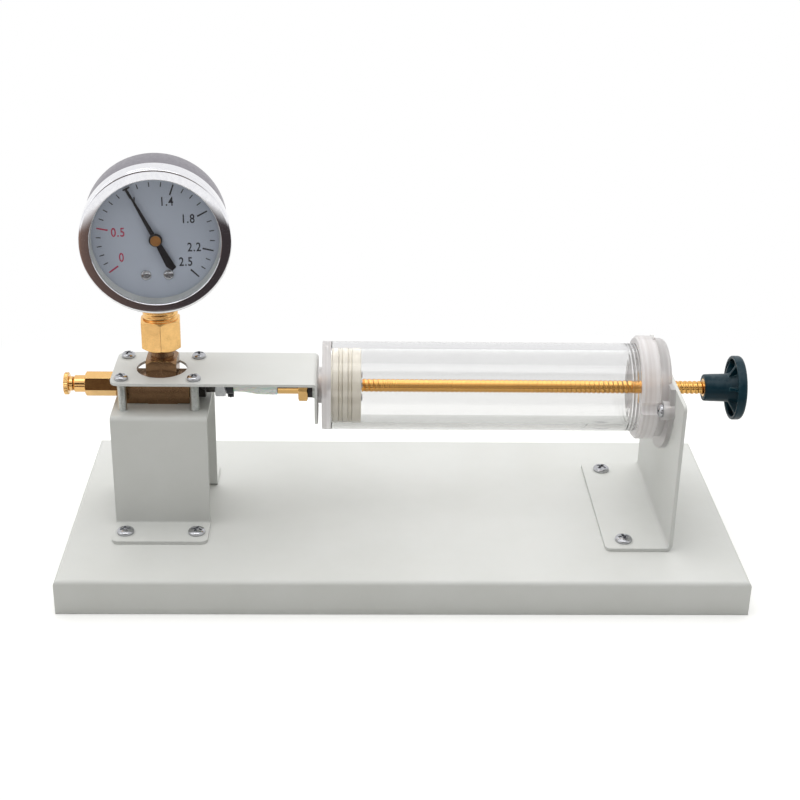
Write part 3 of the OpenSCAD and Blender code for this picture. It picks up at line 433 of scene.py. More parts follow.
def crevice_shade_group():
    """Painted shade: colour darkened in recesses, thread roots and corners, by how
    enclosed a point is.
    """
    group, given, out = new_group(
        "Crevice painted shade",
        [("Reach mm", FLOAT, 0.6), ("Amount", FLOAT, 1.0)],
        [("Mask", FLOAT)],
    )
    inputs = {"Distance": times(group, given["Reach mm"], MM)}
    free = put(group, "ShaderNodeAmbientOcclusion", inputs, samples=4).outputs["AO"]
    # the more enclosed a point, the more shade is painted into its colour
    deep = spread(group, free, 0.75, 0.15)
    group.links.new(times(group, deep, given["Amount"], clamp=True), out["Mask"])
    return group


def scratch_group():
    """Hairline scratches in two crossing directions."""
    group, given, out = new_group(
        "Hairline scratches",
        [("Length mm", FLOAT, 12.0), ("Amount", FLOAT, 0.3)],
        [("Mask", FLOAT)],
    )
    where = object_point(group)
    masks = []
    for turn, thin in (((0.3, 0.9, 0.5), 34.0), ((1.2, -0.4, 2.1), 46.0)):
        inputs = {"Vector": where, "Rotation": turn, "Scale": (1.0, thin, thin)}
        laid = put(group, "ShaderNodeMapping", inputs).outputs[0]
        noise = clouds(group, laid, given["Length mm"], 2.0, 0.5)
        masks.append(spread(group, noise, 0.66, 0.72))
    both = maths(group, "MAXIMUM", *masks)
    group.links.new(times(group, both, given["Amount"], clamp=True), out["Mask"])
    return group


def dust_group():
    """Thin dust that lies on faces that look up, in loose patches."""
    group, given, out = new_group(
        "Settled dust",
        [("Amount", FLOAT, 0.2), ("Patch mm", FLOAT, 14.0)],
        [("Mask", FLOAT)],
    )
    facing = put(group, "ShaderNodeNewGeometry").outputs["Normal"]
    up = put(group, "ShaderNodeSeparateXYZ", {"Vector": facing}).outputs["Z"]
    patch = clouds(group, object_point(group), given["Patch mm"], 8.0, 0.7)
    lies = times(group, spread(group, up, 0.2, 0.95), spread(group, patch, 0.4, 0.7))
    group.links.new(times(group, lies, given["Amount"], clamp=True), out["Mask"])
    return group


def tool_mark_group():
    """Fine lines left by turning, across a given direction."""
    group, given, out = new_group(
        "Turning marks",
        [("Direction", POINT, ALONG), ("Line mm", FLOAT, 0.12)],
        [("Height", FLOAT)],
    )
    along = on_vectors(group, "DOT_PRODUCT", object_point(group), given["Direction"])
    scale = maths(group, "DIVIDE", 1 / MM, given["Line mm"])
    inputs = {"W": times(group, along["Value"], scale), "Scale": 1.0, "Detail": 2.0}
    lines = put(group, "ShaderNodeTexNoise", inputs, noise_dimensions="1D")
    group.links.new(lines.outputs["Fac"], out["Height"])
    return group


GRAIN, EDGE_WEAR = grain_group(), edge_wear_group()
SCRATCHES, DUST, TOOL_MARKS = scratch_group(), dust_group(), tool_mark_group()
CREVICE_SHADE = crevice_shade_group()


def new_material(name, **plain):
    """A material with its Principled shader; plain values go on its own sockets."""
    material = bpy.data.materials.new(name)
    material.use_nodes = True
    tree = material.node_tree
    shader = tree.nodes["Principled BSDF"]
    for key, value in plain.items():
        shader.inputs[key.replace("_", " ")].default_value = value
    return material, tree, shader


def bump(tree, shader, height, relief_mm, strength, normal=None):
    """Turns a height into the shader's normal, over a rounded one if given."""
    inputs = {"Height": height, "Distance": relief_mm * MM, "Strength": strength}
    if normal is not None:
        inputs["Normal"] = normal
    node = put(tree, "ShaderNodeBump", inputs)
    tree.links.new(node.outputs[0], shader.inputs["Normal"])


def dressed(tree, shader, colour, rough):
    """Joins a colour and a roughness to the shader."""
    tree.links.new(colour, shader.inputs["Base Color"])
    tree.links.new(rough, shader.inputs["Roughness"])


def powder_paint():
    """Light warm grey powder coat with its fine orange peel."""
    material, tree, shader = new_material("powder paint", IOR=1.5)
    peel = place(tree, GRAIN, Size_mm=0.9, Softness=0.35)
    tone = place(tree, GRAIN, Size_mm=46.0, Softness=0.6)
    speck = place(tree, GRAIN, Size_mm=0.35, Softness=0.8)
    wear = place(tree, EDGE_WEAR, Width_mm=0.5, Amount=0.35, Patch_mm=5.0)
    dust = place(tree, DUST, Amount=0.10, Patch_mm=20.0)
    colour = blended(tree, tone["Mask"], paint(213, 214, 210), paint(218, 219, 216))
    specks = times(tree, speck["Mask"], 0.05)
    colour = blended(tree, specks, colour, paint(190, 190, 186))
    colour = blended(tree, dust["Mask"], colour, paint(224, 222, 216))
    colour = blended(tree, wear["Mask"], colour, paint(232, 232, 230))
    rough = spread(tree, tone["Height"], 0.3, 0.7, 0.40, 0.50)
    rough = maths(tree, "ADD", rough, times(tree, dust["Mask"], 0.4))
    dressed(tree, shader, colour, rough)
    bump(tree, shader, peel["Height"], 0.05, 0.5, wear["Normal"])
    return material


def brass(name, bright, dull, rough_range, direction=UP, stain=0.25):
    """Bare brass: tool marks, dull patches in the flats and rubbed bright edges."""
    material, tree, shader = new_material(name, Metallic=1.0)
    blot = place(tree, GRAIN, Size_mm=3.2, Softness=0.75)
    fine = place(tree, GRAIN, Size_mm=0.5, Softness=0.6)
    marks = place(tree, TOOL_MARKS, Direction=direction, Line_mm=0.16)
    wear = place(tree, EDGE_WEAR, Width_mm=0.3, Amount=0.8, Patch_mm=1.5)
    scratch = place(tree, SCRATCHES, Length_mm=7.0, Amount=0.5)
    # painted shade: recesses and thread roots darkened to a deep brown
    recess_shade = place(tree, CREVICE_SHADE, Reach_mm=0.8, Amount=0.6)
    dirt = times(tree, blot["Mask"], stain)
    line = times(tree, scratch["Mask"], 0.5)
    colour = blended(tree, dirt, paint(*bright), paint(*dull))
    colour = blended(tree, line, colour, paint(*dull))
    colour = blended(tree, wear["Mask"], colour, paint(250, 214, 140))
    colour = blended(tree, recess_shade["Mask"], colour, paint(110, 66, 30))
    rough = spread(tree, fine["Height"], 0.3, 0.7, *rough_range)
    rough = maths(tree, "ADD", rough, times(tree, dirt, 0.3))
    dressed(tree, shader, colour, rough)
    cut = times(tree, scratch["Mask"], -0.6)
    height = maths(tree, "ADD", marks["Height"], cut)
    bump(tree, shader, height, 0.012, 0.5, wear["Normal"])
    return material


def plated_steel(name, tone_a, tone_b, rough_range, direction=UP):
    """Bright plated steel with a cloudy plating and hairlines."""
    material, tree, shader = new_material(name, Metallic=1.0)
    cloud = place(tree, GRAIN, Size_mm=1.6, Softness=0.7)
    marks = place(tree, TOOL_MARKS, Direction=direction, Line_mm=0.2)
    scratch = place(tree, SCRATCHES, Length_mm=3.0, Amount=0.5)
    wear = place(tree, EDGE_WEAR, Width_mm=0.2, Amount=0.7, Patch_mm=1.0)
    # painted shade: recesses, cross slots and thread roots darkened almost to black
    recess_shade = place(tree, CREVICE_SHADE, Reach_mm=0.9, Amount=0.85)
    colour = blended(tree, cloud["Mask"], paint(*tone_a), paint(*tone_b))
    colour = blended(tree, wear["Mask"], colour, paint(232, 233, 236))
    colour = blended(tree, recess_shade["Mask"], colour, paint(52, 50, 54))
    rough = spread(tree, cloud["Height"], 0.3, 0.7, *rough_range)
    rough = maths(tree, "ADD", rough, times(tree, scratch["Mask"], 0.2))
    dressed(tree, shader, colour, rough)
    bump(tree, shader, marks["Height"], 0.006, 0.4, wear["Normal"])
    return material


def moulded(name, tone_a, tone_b, edge, rough_range, **plain):
    """Moulded plastic or rubber with flow tones, fine texture and paler edges."""
    material, tree, shader = new_material(name, **plain)
    tone = place(tree, GRAIN, Size_mm=6.0, Softness=0.6)
    skin = place(tree, GRAIN, Size_mm=0.3, Softness=0.6)
    wear = place(tree, EDGE_WEAR, Width_mm=0.5, Amount=0.6, Patch_mm=3.0)
    dust = place(tree, DUST, Amount=0.12, Patch_mm=6.0)
    colour = blended(tree, tone["Mask"], paint(*tone_a), paint(*tone_b))
    colour = blended(tree, wear["Mask"], colour, paint(*edge))
    colour = blended(tree, dust["Mask"], colour, paint(170, 170, 166))
    rough = spread(tree, tone["Height"], 0.3, 0.7, *rough_range)
    dressed(tree, shader, colour, rough)
    bump(tree, shader, skin["Height"], 0.02, 0.4, wear["Normal"])
    return material


def clear_plastic(name, colour, rough_range, streak, relief_mm):
    """Clear acrylic: faint draw lines along it, hairlines and dull patches."""
    material, tree, shader = new_material(
        name, IOR=1.49, Transmission_Weight=1.0, Base_Color=colour
    )
    patch = place(tree, GRAIN, Size_mm=9.0, Softness=0.7)
    lines = place(tree, GRAIN, Size_mm=2.4, Stretch=streak, Softness=0.5)
    scratch = place(tree, SCRATCHES, Length_mm=9.0, Amount=0.5)
    rough = spread(tree, patch["Height"], 0.4, 0.75, *rough_range)
    rough = maths(tree, "ADD", rough, times(tree, scratch["Mask"], 0.12))
    tree.links.new(rough, shader.inputs["Roughness"])
    bump(tree, shader, lines["Height"], relief_mm, 0.5)
    return material


def frosted_plastic():
    """Moulded acrylic, milky from its mould, with fine rings round its axis."""
    material, tree, shader = new_material(
        "moulded acrylic", IOR=1.46, Transmission_Weight=0.5
    )
    tone = place(tree, GRAIN, Size_mm=7.0, Softness=0.6)
    rings = place(
        tree, GRAIN, Size_mm=1.5, Stretch=(1.0, 0.02, 0.02), Softness=0.4
    )
    colour = blended(tree, rings["Mask"], paint(232, 228, 227), paint(252, 250, 250))
    milky = times(tree, tone["Mask"], 0.25)
    colour = blended(tree, milky, colour, paint(232, 227, 225))
    rough = spread(tree, tone["Height"], 0.35, 0.7, 0.28, 0.38)
    dressed(tree, shader, colour, rough)
    bump(tree, shader, rings["Height"], 0.03, 0.5)
    return material


def dial_enamel():
    """Pale blue-grey dial with fine specks, shaded where it meets its ring."""
    material, tree, shader = new_material("dial enamel", Roughness=0.45)
    tone = place(tree, GRAIN, Size_mm=18.0, Softness=0.5)
    speck = place(tree, GRAIN, Size_mm=0.25, Softness=0.8)
    # painted shade: the dial is darkened near the wall of its ring
    shade = place(tree, CREVICE_SHADE, Reach_mm=3.8, Amount=0.6)
    colour = blended(tree, tone["Mask"], paint(192, 200, 214), paint(198, 206, 220))
    colour = blended(tree, shade["Mask"], colour, paint(132, 138, 150))
    specks = times(tree, speck["Mask"], 0.04)
    colour = blended(tree, specks, colour, paint(150, 158, 168))
    tree.links.new(colour, shader.inputs["Base Color"])
    bump(tree, shader, speck["Height"], 0.004, 0.3)
    return material


def print_ink(name, thick, thin):
    """Screen printed ink with thin and thick places."""
    material, tree, shader = new_material(name)
    fill = place(tree, GRAIN, Size_mm=0.5, Softness=0.7)
    colour = blended(tree, fill["Mask"], paint(*thick), paint(*thin))
    rough = spread(tree, fill["Height"], 0.3, 0.7, 0.35, 0.55)
    dressed(tree, shader, colour, rough)
    return material


def milky_hose():
    """Milky silicone that lets light through."""
    material, tree, shader = new_material(
        "milky hose",
        IOR=1.42,
        Transmission_Weight=0.12,
        Subsurface_Weight=0.5,
        Subsurface_Scale=0.004,
    )
    tone = place(tree, GRAIN, Size_mm=5.0, Softness=0.5)
    lines = place(tree, GRAIN, Size_mm=0.8, Stretch=(0.08, 1.0, 1.0), Softness=0.5)
    colour = blended(tree, tone["Mask"], paint(253, 249, 240), paint(250, 246, 238))
    rough = spread(tree, tone["Height"], 0.3, 0.7, 0.22, 0.36)
    dressed(tree, shader, colour, rough)
    bump(tree, shader, lines["Height"], 0.02, 0.4)
    return material


GOLD, GOLD_DULL = (252, 204, 134), (210, 154, 88)
MATERIALS = {
    "paint": powder_paint(),
    "brass_long": brass("brass turned", GOLD, GOLD_DULL, (0.08, 0.16), ALONG, 0.15),
    "brass_up": brass("brass column", GOLD, GOLD_DULL, (0.08, 0.18), UP, 0.2),
    # painted shade: the tee's brass is darker and duller than the rest, for its place in
    # shade under the carrier plate
    "shaded_brass_tee": brass(
        "brass tee with painted shade", (150, 118, 88), (114, 90, 66), (0.14, 0.24), UP, 0.3
    ),
    "brass_rod": brass("brass screw", (246, 190, 108), GOLD_DULL, (0.08, 0.16), ALONG),
    "movement": brass("movement brass", GOLD, GOLD_DULL, (0.25, 0.4)),
    "bronze": brass("bronze tube", (214, 156, 98), (140, 92, 60), (0.25, 0.4)),
    "zinc": plated_steel("zinc plate", (196, 197, 200), (176, 177, 180), (0.08, 0.18)),
    "pillar": plated_steel("dull zinc", (208, 211, 206), (186, 190, 186), (0.28, 0.40)),
    "chrome": plated_steel(
        "bright chrome", (244, 244, 246), (236, 236, 240), (0.04, 0.09), INWARD
    ),
    "case": plated_steel(
        "satin case", (164, 161, 167), (152, 149, 155), (0.32, 0.42), INWARD
    ),
    "dark_steel": plated_steel(
        "blackened steel", (92, 90, 88), (66, 64, 62), (0.25, 0.4), ALONG
    ),
    "clear": clear_plastic(
        "clear acrylic", (0.85, 0.85, 0.85, 1.0), (0.0, 0.015), (0.06, 1.0, 1.0), 0.001
    ),
    "cap": frosted_plastic(),
    "lens": clear_plastic(
        "gauge lens", (0.985, 0.99, 0.99, 1.0), (0.01, 0.02), (1.0, 1.0, 1.0), 0.002
    ),
    "dial": dial_enamel(),
    "ink": print_ink("black ink", (38, 38, 44), (62, 62, 70)),
    "red_ink": print_ink("red ink", (186, 52, 84), (204, 78, 104)),
    "hose": milky_hose(),
}
PEARL, IVORY = (250, 243, 226), (244, 236, 219)
# moulded finishes: name, two tones, the rubbed edges, the roughness
for finish, *look in (
    ("pointer", "pointer enamel", (24, 22, 26), (34, 30, 34), (70, 66, 70), (0.3, 0.45)),
    ("ring", "white ring", (226, 228, 226), (218, 221, 219), (236, 237, 236), (0.4, 0.55)),
    ("clip", "black clip", (28, 29, 38), (38, 39, 48), (90, 90, 96), (0.35, 0.5)),
    ("rubber", "black rubber", (40, 34, 38), (54, 47, 50), (84, 78, 80), (0.55, 0.7)),
    ("seal", "ring seal", (244, 237, 219), (236, 228, 211), (232, 227, 212), (0.45, 0.6)),
    ("piston", "piston plastic", PEARL, IVORY, (240, 235, 220), (0.35, 0.5)),
):
    MATERIALS[finish] = moulded(*look)
# the knob's pale edge colour is partly rubbed wear and partly painted highlight along its
# rim edges
MATERIALS["knob"] = moulded(
    "knob plastic",
    (0, 40, 52),
    (2, 47, 60),
    (84, 122, 128),
    (0.30, 0.42),
    Specular_IOR_Level=0.22,
)

# CAD nodes that keep their own solids, and the finish each takes
NODE_FINISH = {
    "paint": ["base_tray", "tee_stand", "carrier_plate", "end_bracket"],
    "brass_long": ["valve_body", "nozzle", "feed_nut", "piston_retainer"],
    "brass_up": ["gauge_nut", "gauge_socket"],
    "shaded_brass_tee": ["tee_block"],
    "movement": ["movement_front", "movement_back", "sector_gear", "movement_link"],
    "bronze": ["bourdon_tube", "pointer_arbor"],
    "zinc": ["foot_nuts", "carrier_nuts", "outlet_nut", "cap_nuts", "bracket_nuts"],
    "pillar": ["steel_washer"],
    "dark_steel": ["outlet_fitting"],
    "rubber": ["rubber_washer", "valve_seal"],
    "seal": ["piston_rings"],
    "lens": ["gauge_lens"],
    "ring": ["dial_ring"],
    "cap": ["cylinder_end", "end_cap"],
}
for finish, names in NODE_FINISH.items():
    for node_name in names:
        NODES[node_name].data.materials.clear()
        NODES[node_name].data.materials.append(MATERIALS[finish])


# --- screws ---
def screw_set(node, spots, size, body="apparatus"):
    """A node's screws as one piece: spots are placing matrices with their turn."""
    shapes = [moved(pan_screw(*size), spot) for spot in spots]
    make_piece(node + "_detail", joined(*shapes), "zinc", body, node, sharp=40)


def four_corners(x, y, z, half_x, half_y, turns):
    """Four upright places round a point, each with its own turn."""
    sides = [(i, j) for i in (-1, 1) for j in (-1, 1)]
    return [
        upright(x + i * half_x, y + j * half_y, z, turn)
        for (i, j), turn in zip(sides, turns)
    ]


# screws: shank radius, length, head radius, head height, pitch
M4_FOOT = (2.0, 8.0, 3.9, 2.2, 0.7)
M4_TEE = (2.0, 4.5, 3.9, 2.7, 0.7)
M3_PLATE = (1.5, PLATE_TOP - STAND_TOP + 4.5, 3.1, 2.3, 0.5)
M3_CAP = (1.5, 9.7, 3.1, 2.3, 0.5)
DIAL_SCREW = (0.95, 3.2, 2.2, 0.9, 0.4)
RETAINER_SCREW = (1.0, 6.0, 1.8, 0.8, 0.4)

SHEET_TOP = TRAY_TOP + THICK_SHEET
FOOT_SPAN, PLATE_SPAN = (15.9, 29.0), (16, 12.5)
PLATE_MIDDLE = (STAND_X - 0.6, AXIS_Y)
BRACKET_SCREW_X, BRACKET_SCREW_Y = 99.4, 34.0
CAP_SCREW_X, CAP_SCREW_R = 113.8, 24.8
DIAL_SCREW_X, DIAL_SCREW_Y = 4.8, 16.3
RETAINER_SCREW_R = 6

foot_spots = four_corners(STAND_X, STAND_Y, SHEET_TOP, *FOOT_SPAN, (18, 63, -12, 37))
screw_set("foot_screws", foot_spots, M4_FOOT)
plate_spots = four_corners(*PLATE_MIDDLE, PLATE_TOP, *PLATE_SPAN, (25, 70, 52, 8))
screw_set("carrier_screws", plate_spots, M3_PLATE)
bracket_spots = [
    upright(BRACKET_SCREW_X, side * BRACKET_SCREW_Y, SHEET_TOP, turn)
    for side, turn in ((-1, 12), (1, 55))
]
screw_set("bracket_screws", bracket_spots, M4_FOOT)
cap_spots = [
    shifted(CAP_SCREW_X, AXIS_Y + y, AXIS_Z + z) @ rotated(-90, "Y") @ rotated(20, "Z")
    for y, z in arc(0, 0, CAP_SCREW_R, 180, 300, 1)
]
screw_set("cap_screws", cap_spots, M3_CAP)
tee_spot = upright(COLUMN_X, AXIS_Y, STAND_TOP - THICK_SHEET) @ rotated(180, "X")
screw_set("tee_screw", [tee_spot], M4_TEE)
dial_spots = [
    in_gauge(DIAL_DEPTH)
    @ shifted(side * DIAL_SCREW_X, DIAL_SCREW_Y, 0)
    @ rotated(180, "X")
    @ rotated(turn, "Z")
    for side, turn in ((-1, 35), (1, 10))
]
screw_set("dial_screws", dial_spots, DIAL_SCREW)
retainer_spots = [
    on_axis(PISTON_RIGHT, 120 * k) @ shifted(RETAINER_SCREW_R, 0, 0) for k in range(3)
]
screw_set("retainer_screws", retainer_spots, RETAINER_SCREW, "piston")

standoff = screw_thread(
    STAND_TOP, PLATE_UNDER, outer=2.0, depth=0.28, pitch=0.8, steps=40, rows=8
)
standoff_spots = four_corners(*PLATE_MIDDLE, 0, *PLATE_SPAN, (-40, -40, 40, 40))
make_piece(
    "standoffs_detail",
    joined(*(moved(standoff, spot) for spot in standoff_spots)),
    "pillar",
    replaces="standoffs",
    sharp=40,
)

# --- gauge ---
BEZEL_R, LIP_R, CASE_R = 32.0, 27.5, 30.9
bezel_run = eased(
    [(LIP_R, 0.95), (LIP_R, 0.3), (LIP_R + 0.2, 0.0)]
    + [(BEZEL_R - 0.75, 0.40), (BEZEL_R - 0.2, 0.62), (BEZEL_R, 1.0)]
    + [(BEZEL_R, 2.5), (BEZEL_R - 0.28, 2.75), (BEZEL_R - 0.28, 3.05), (BEZEL_R, 3.35)]
    + [(BEZEL_R, 10.7), (BEZEL_R - 0.35, 11.3)]
    + [(CASE_R + 0.06, 11.3), (CASE_R + 0.06, 0.95)],
    [0, 0.1, 0.15, 0.3, 0.2, 0.2, 0.2, 0.1, 0.1, 0.2, 0.3, 0.2, 0.1, 0.1],
    closed=True,
)
make_piece(
    "bezel_ring",
    moved(turned(bezel_run, 192, loop=True), in_gauge(0)),
    "chrome",
    replaces="gauge_bezel",
    sharp=50,
)
case_run = (
    [(CASE_R - 0.8, 7.0), (CASE_R, 7.0), (CASE_R, 12.2)]
    + [(CASE_R - 0.25, 12.5), (CASE_R - 0.25, 12.9), (CASE_R, 13.2)]
    + arc(CASE_R - 3, 29, 3, 0, 90, 8)
    + [(22.0, 32.0), (21.4, 31.6), (8.5, 31.6), (8.0, 32.0), (0, 32.0)]
)
case_inside = [(0, 31.0)] + arc(CASE_R - 3.4, 28.6, 2.4, 90, 0, 8)
case_shape = turned(case_run + case_inside + [(CASE_R - 0.8, 7.0)], 160)
make_piece(
    "case_shell",
    moved(case_shape, in_gauge(0)),
    "case",
    replaces="gauge_case",
    sharp=40,
)
dial_run = eased([(2.0, 0.6), (2.0, 0.0), (29.7, 0.0), (29.7, 0.6)], 0.08, closed=True)
make_piece(
    "dial_plate",
    moved(turned(dial_run, 160, loop=True), in_gauge(DIAL_DEPTH)),
    "dial",
    replaces="gauge_dial",
)

INK_DEPTH, INK_THICK = 6.97, 0.05
# values of the long marks, and their angles clockwise from straight up
SCALE = ((0.0, -126.0), (0.5, -78.0), (1.0, -28.0))
SCALE += ((1.4, 19.5), (1.8, 62.0), (2.2, 104.0), (2.5, 135.0))


def dial_angle(value):
    """A value's angle in degrees; the scale isn't quite even."""
    for (low, a), (high, b) in zip(SCALE, SCALE[1:]):
        if value <= high:
            return a + (b - a) * (value - low) / (high - low)
    return SCALE[-1][1]


def dial_tick(value, inner, outer, width):
    """A printed line that points at the dial's middle; it thins towards the rim."""
    a = math.radians(dial_angle(value))
    out, side = Vector((math.sin(a), -math.cos(a))), Vector((math.cos(a), math.sin(a)))
    corners = [
        out * inner - side * width / 2,
        out * outer - side * width * 0.4,
        out * outer + side * width * 0.4,
        out * inner + side * width / 2,
    ]
    return prism([(c.x, c.y) for c in corners], 0, INK_THICK)


MARK_OUT = 25.0
black_marks, red_marks = [], []
for tenth in range(26):
    value = tenth / 10
    marks = red_marks if value in (0.0, 0.5) else black_marks
    inner, width = (20.2, 0.75) if value in dict(SCALE) else (22.9, 0.48)
    marks.append(dial_tick(value, inner, MARK_OUT, width))

NUMBER_HEIGHT, NUMBER_NARROWED = 4.0, 0.78


def dial_number(text, angle, radius):
    """A printed number, upright on the dial, centred on its place."""
    curve = bpy.data.curves.new("number", "FONT")
    curve.body = text
    curve.size = NUMBER_HEIGHT * 1.38
    curve.offset = NUMBER_HEIGHT * 0.020
    curve.space_character = 1.14
    curve.align_x, curve.align_y = "CENTER", "CENTER"
    holder = bpy.data.objects.new("number", curve)
    bpy.context.scene.collection.objects.link(holder)
    bpy.context.view_layer.update()
    flat = bpy.data.meshes.new_from_object(
        holder.evaluated_get(bpy.context.evaluated_depsgraph_get())
    )
    xs, ys = [v.co.x for v in flat.vertices], [v.co.y for v in flat.vertices]
    mid_x, mid_y = (min(xs) + max(xs)) / 2, (min(ys) + max(ys)) / 2
    a = math.radians(angle)
    at_x, at_y = radius * math.sin(a), -radius * math.cos(a)
    work = bmesh.new()
    work.from_mesh(flat)
    grown = bmesh.ops.extrude_face_region(work, geom=work.faces[:])
    for item in grown["geom"]:
        if isinstance(item, bmesh.types.BMVert):
            item.co.z += INK_THICK
    work.verts.index_update()
    verts = [
        (at_x + (v.co.x - mid_x) * NUMBER_NARROWED, at_y - (v.co.y - mid_y), v.co.z)
        for v in work.verts
    ]
    faces = [[v.index for v in f.verts] for f in work.faces]
    work.free()
    bpy.data.objects.remove(holder)
    bpy.data.curves.remove(curve)
    bpy.data.meshes.remove(flat)
    return verts, faces


for text, angle, radius in (
    ("0", -118.5, 16.8),
    ("0.5", -78.5, 16.0),
    ("1", -26, 18.4),
    ("1.4", 19, 17.3),
    ("1.8", 59, 16.6),
    ("2.2", 104.5, 16.6),
    ("2.5", 131, 16.2),
):
    marks = red_marks if text in ("0", "0.5") else black_marks
    marks.append(dial_number(text, angle, radius))
for name, marks, ink in (
    ("dial_print_black", black_marks, "ink"),
    ("dial_print_red", red_marks, "red_ink"),
):
    make_piece(name, moved(joined(*marks), in_gauge(INK_DEPTH)), ink, sharp=20)

needle = [(-1.05, 0.0), (-0.28, 24.9), (-1.55, 25.0), (-1.55, 25.6)]
needle += [(1.55, 25.6), (1.55, 25.0), (0.28, 24.9), (1.05, 0.0)]
needle += [(1.35, -3.0), (1.95, -14.6), (-0.2, -15.4), (-1.75, -12.6), (-1.15, -3.0)]
needle_flat = [(x, -y) for x, y in needle]
hub_run = [(0.82, 0.0), (0.82, -0.55), (2.3, -0.75), (2.9, -0.3), (2.9, 0.3), (0.82, 0.3)]
hub = turned(eased(hub_run, 0.15, closed=True), 64, loop=True)
blade = joined(prism(needle_flat, 0.0, 0.45), hub)
make_piece(
    "pointer_blade",
    moved(blade, in_gauge(4.85) @ rotated(POINTER_REST, "Z")),
    "pointer",
    body="pointer",
    replaces="gauge_pointer",
    sharp=30,
)

# --- brass rod, knob and piston ---
ROD_R, ROD_PITCH = 3.0, 2.15
rod_start, rod_end = PISTON_RIGHT + 0.3, KNOB_LEFT + 3.0
head_run = [(0, -24.4), (4.0, -24.4), (4.0, -21.0), (2.0, -21.0)]
head_run += [(2.0, rod_start + 0.2), (0, rod_start + 0.2)]
rod_head = turned(eased(head_run, 0.25), 64)
pin_from, pin_to = rod_end - 0.2, rod_end + 10
pin_run = [(0, pin_from), (2.5, pin_from), (2.5, pin_to), (0, pin_to)]
rod_end_pin = turned(eased(pin_run, 0.3), 48)
rod_thread = screw_thread(
    rod_start, rod_end, ROD_R, depth=0.3, pitch=ROD_PITCH, steps=56, rows=10
)
make_piece(
    "screw_rod",
    moved(joined(rod_head, rod_thread, rod_end_pin), on_axis(0)),
    "brass_rod",
    body="lead_screw",
    replaces="lead_screw",
    sharp=40,
)

HUB_R, HUB_L, WHEEL_R = 6.2, 14.2, 14.6
knob_run = eased(
    [(3.05, 0.5), (3.05, 0.9), (4.15, 0.9), (4.15, 0.0), (HUB_R - 0.15, 0.0)]
    + [(HUB_R, 3.0), (HUB_R + 0.25, HUB_L - 2.4), (HUB_R + 2.2, HUB_L + 1.4)]
    + [(WHEEL_R - 1.7, HUB_L + 1.6), (WHEEL_R - 1.4, 13.0), (WHEEL_R - 0.4, 12.9)]
    + [(WHEEL_R, 13.3), (WHEEL_R, 16.2), (WHEEL_R - 0.6, 17.1)]
    + [(WHEEL_R * 0.55, 18.3), (0, 18.6)],
    [0, 0, 0, 0.3, 0.7, 1.0, 2.2, 1.2, 0.6, 0.4, 0.5, 0.5, 0.8, 1.2, 3.0, 0],
    6,
)
knob_inside = [(0, 13.3), (2.55, 13.3), (2.55, 3.0), (3.05, 3.0), (3.05, 0.5)]
knob_shape = turned(knob_run + knob_inside, 144)
rib_outline = eased(
    [(HUB_R - 0.8, 16.0), (HUB_R - 0.8, HUB_L - 3.6), (HUB_R + 1.4, HUB_L - 2.9)]
    + [(WHEEL_R - 1.6, 13.6), (WHEEL_R - 1.6, 16.0)],
    [0, 0.3, 0.8, 0.3, 0],
    closed=True,
)
rib = prism(rib_outline, -0.7, 0.7)
RIBS, FIRST_RIB = 6, 12
ribs = [
    moved(rib, rotated(360 / RIBS * k + FIRST_RIB, "Z") @ rotated(90, "X"))
    for k in range(RIBS)
]
make_piece(
    "knob_wheel",
    moved(joined(knob_shape, *ribs), on_axis(KNOB_LEFT)),
    "knob",
    body="lead_screw",
    replaces="hand_knob",
    sharp=40,
)
insert_run = eased([(3.1, 0.88), (3.1, 0), (4.1, 0), (4.1, 0.88)], 0.12, closed=True)
make_piece(
    "knob_insert",
    moved(turned(insert_run, 64, loop=True), on_axis(KNOB_LEFT)),
    "brass_long",
    body="lead_screw",
)

PISTON_R, HEAD_BORE_R, RECESS_R = BORE_R - 0.07, 4.07, 9.05
GROOVES, GROOVE_DEEP, GROOVE_HALF = (0.3, 0.62), 1.8, 0.9 + 0.04
RECESS_FLOOR = PISTON_LONG - 1.6
piston_profile = [(HEAD_BORE_R, RECESS_FLOOR), (HEAD_BORE_R, 7.5), (0, 7.5), (0, 0)]
piston_profile += [(PISTON_R - 0.5, 0), (PISTON_R, 0.5)]
for share in GROOVES:
    low, high = share * PISTON_LONG - GROOVE_HALF, share * PISTON_LONG + GROOVE_HALF
    floor_r = PISTON_R - GROOVE_DEEP
    piston_profile += [(PISTON_R, low), (floor_r, low), (floor_r, high), (PISTON_R, high)]
piston_profile += [(PISTON_R, PISTON_LONG - 0.5), (PISTON_R - 0.5, PISTON_LONG)]
piston_profile += [(RECESS_R, PISTON_LONG), (RECESS_R, RECESS_FLOOR)]
piston_profile += [(HEAD_BORE_R, RECESS_FLOOR)]
make_piece(
    "piston_body",
    moved(turned(piston_profile, 144), on_axis(PISTON_LEFT)),
    "piston",
    body="piston",
    replaces="piston",
    sharp=35,
)

# --- clear cylinder and its cap ---
THREAD_FROM, THREAD_DEPTH, THREAD_PITCH = 99.5, 0.16, 1.6
TUBE_CHAMFER, BORE_CHAMFER = 0.35, 0.3


def band(low, high, steps):
    """Faces between two rings, given by the numbers of their first points."""
    after = [(k + 1) % steps for k in range(steps)]
    return [[low + k, low + n, high + n, high + k] for k, n in enumerate(after)]


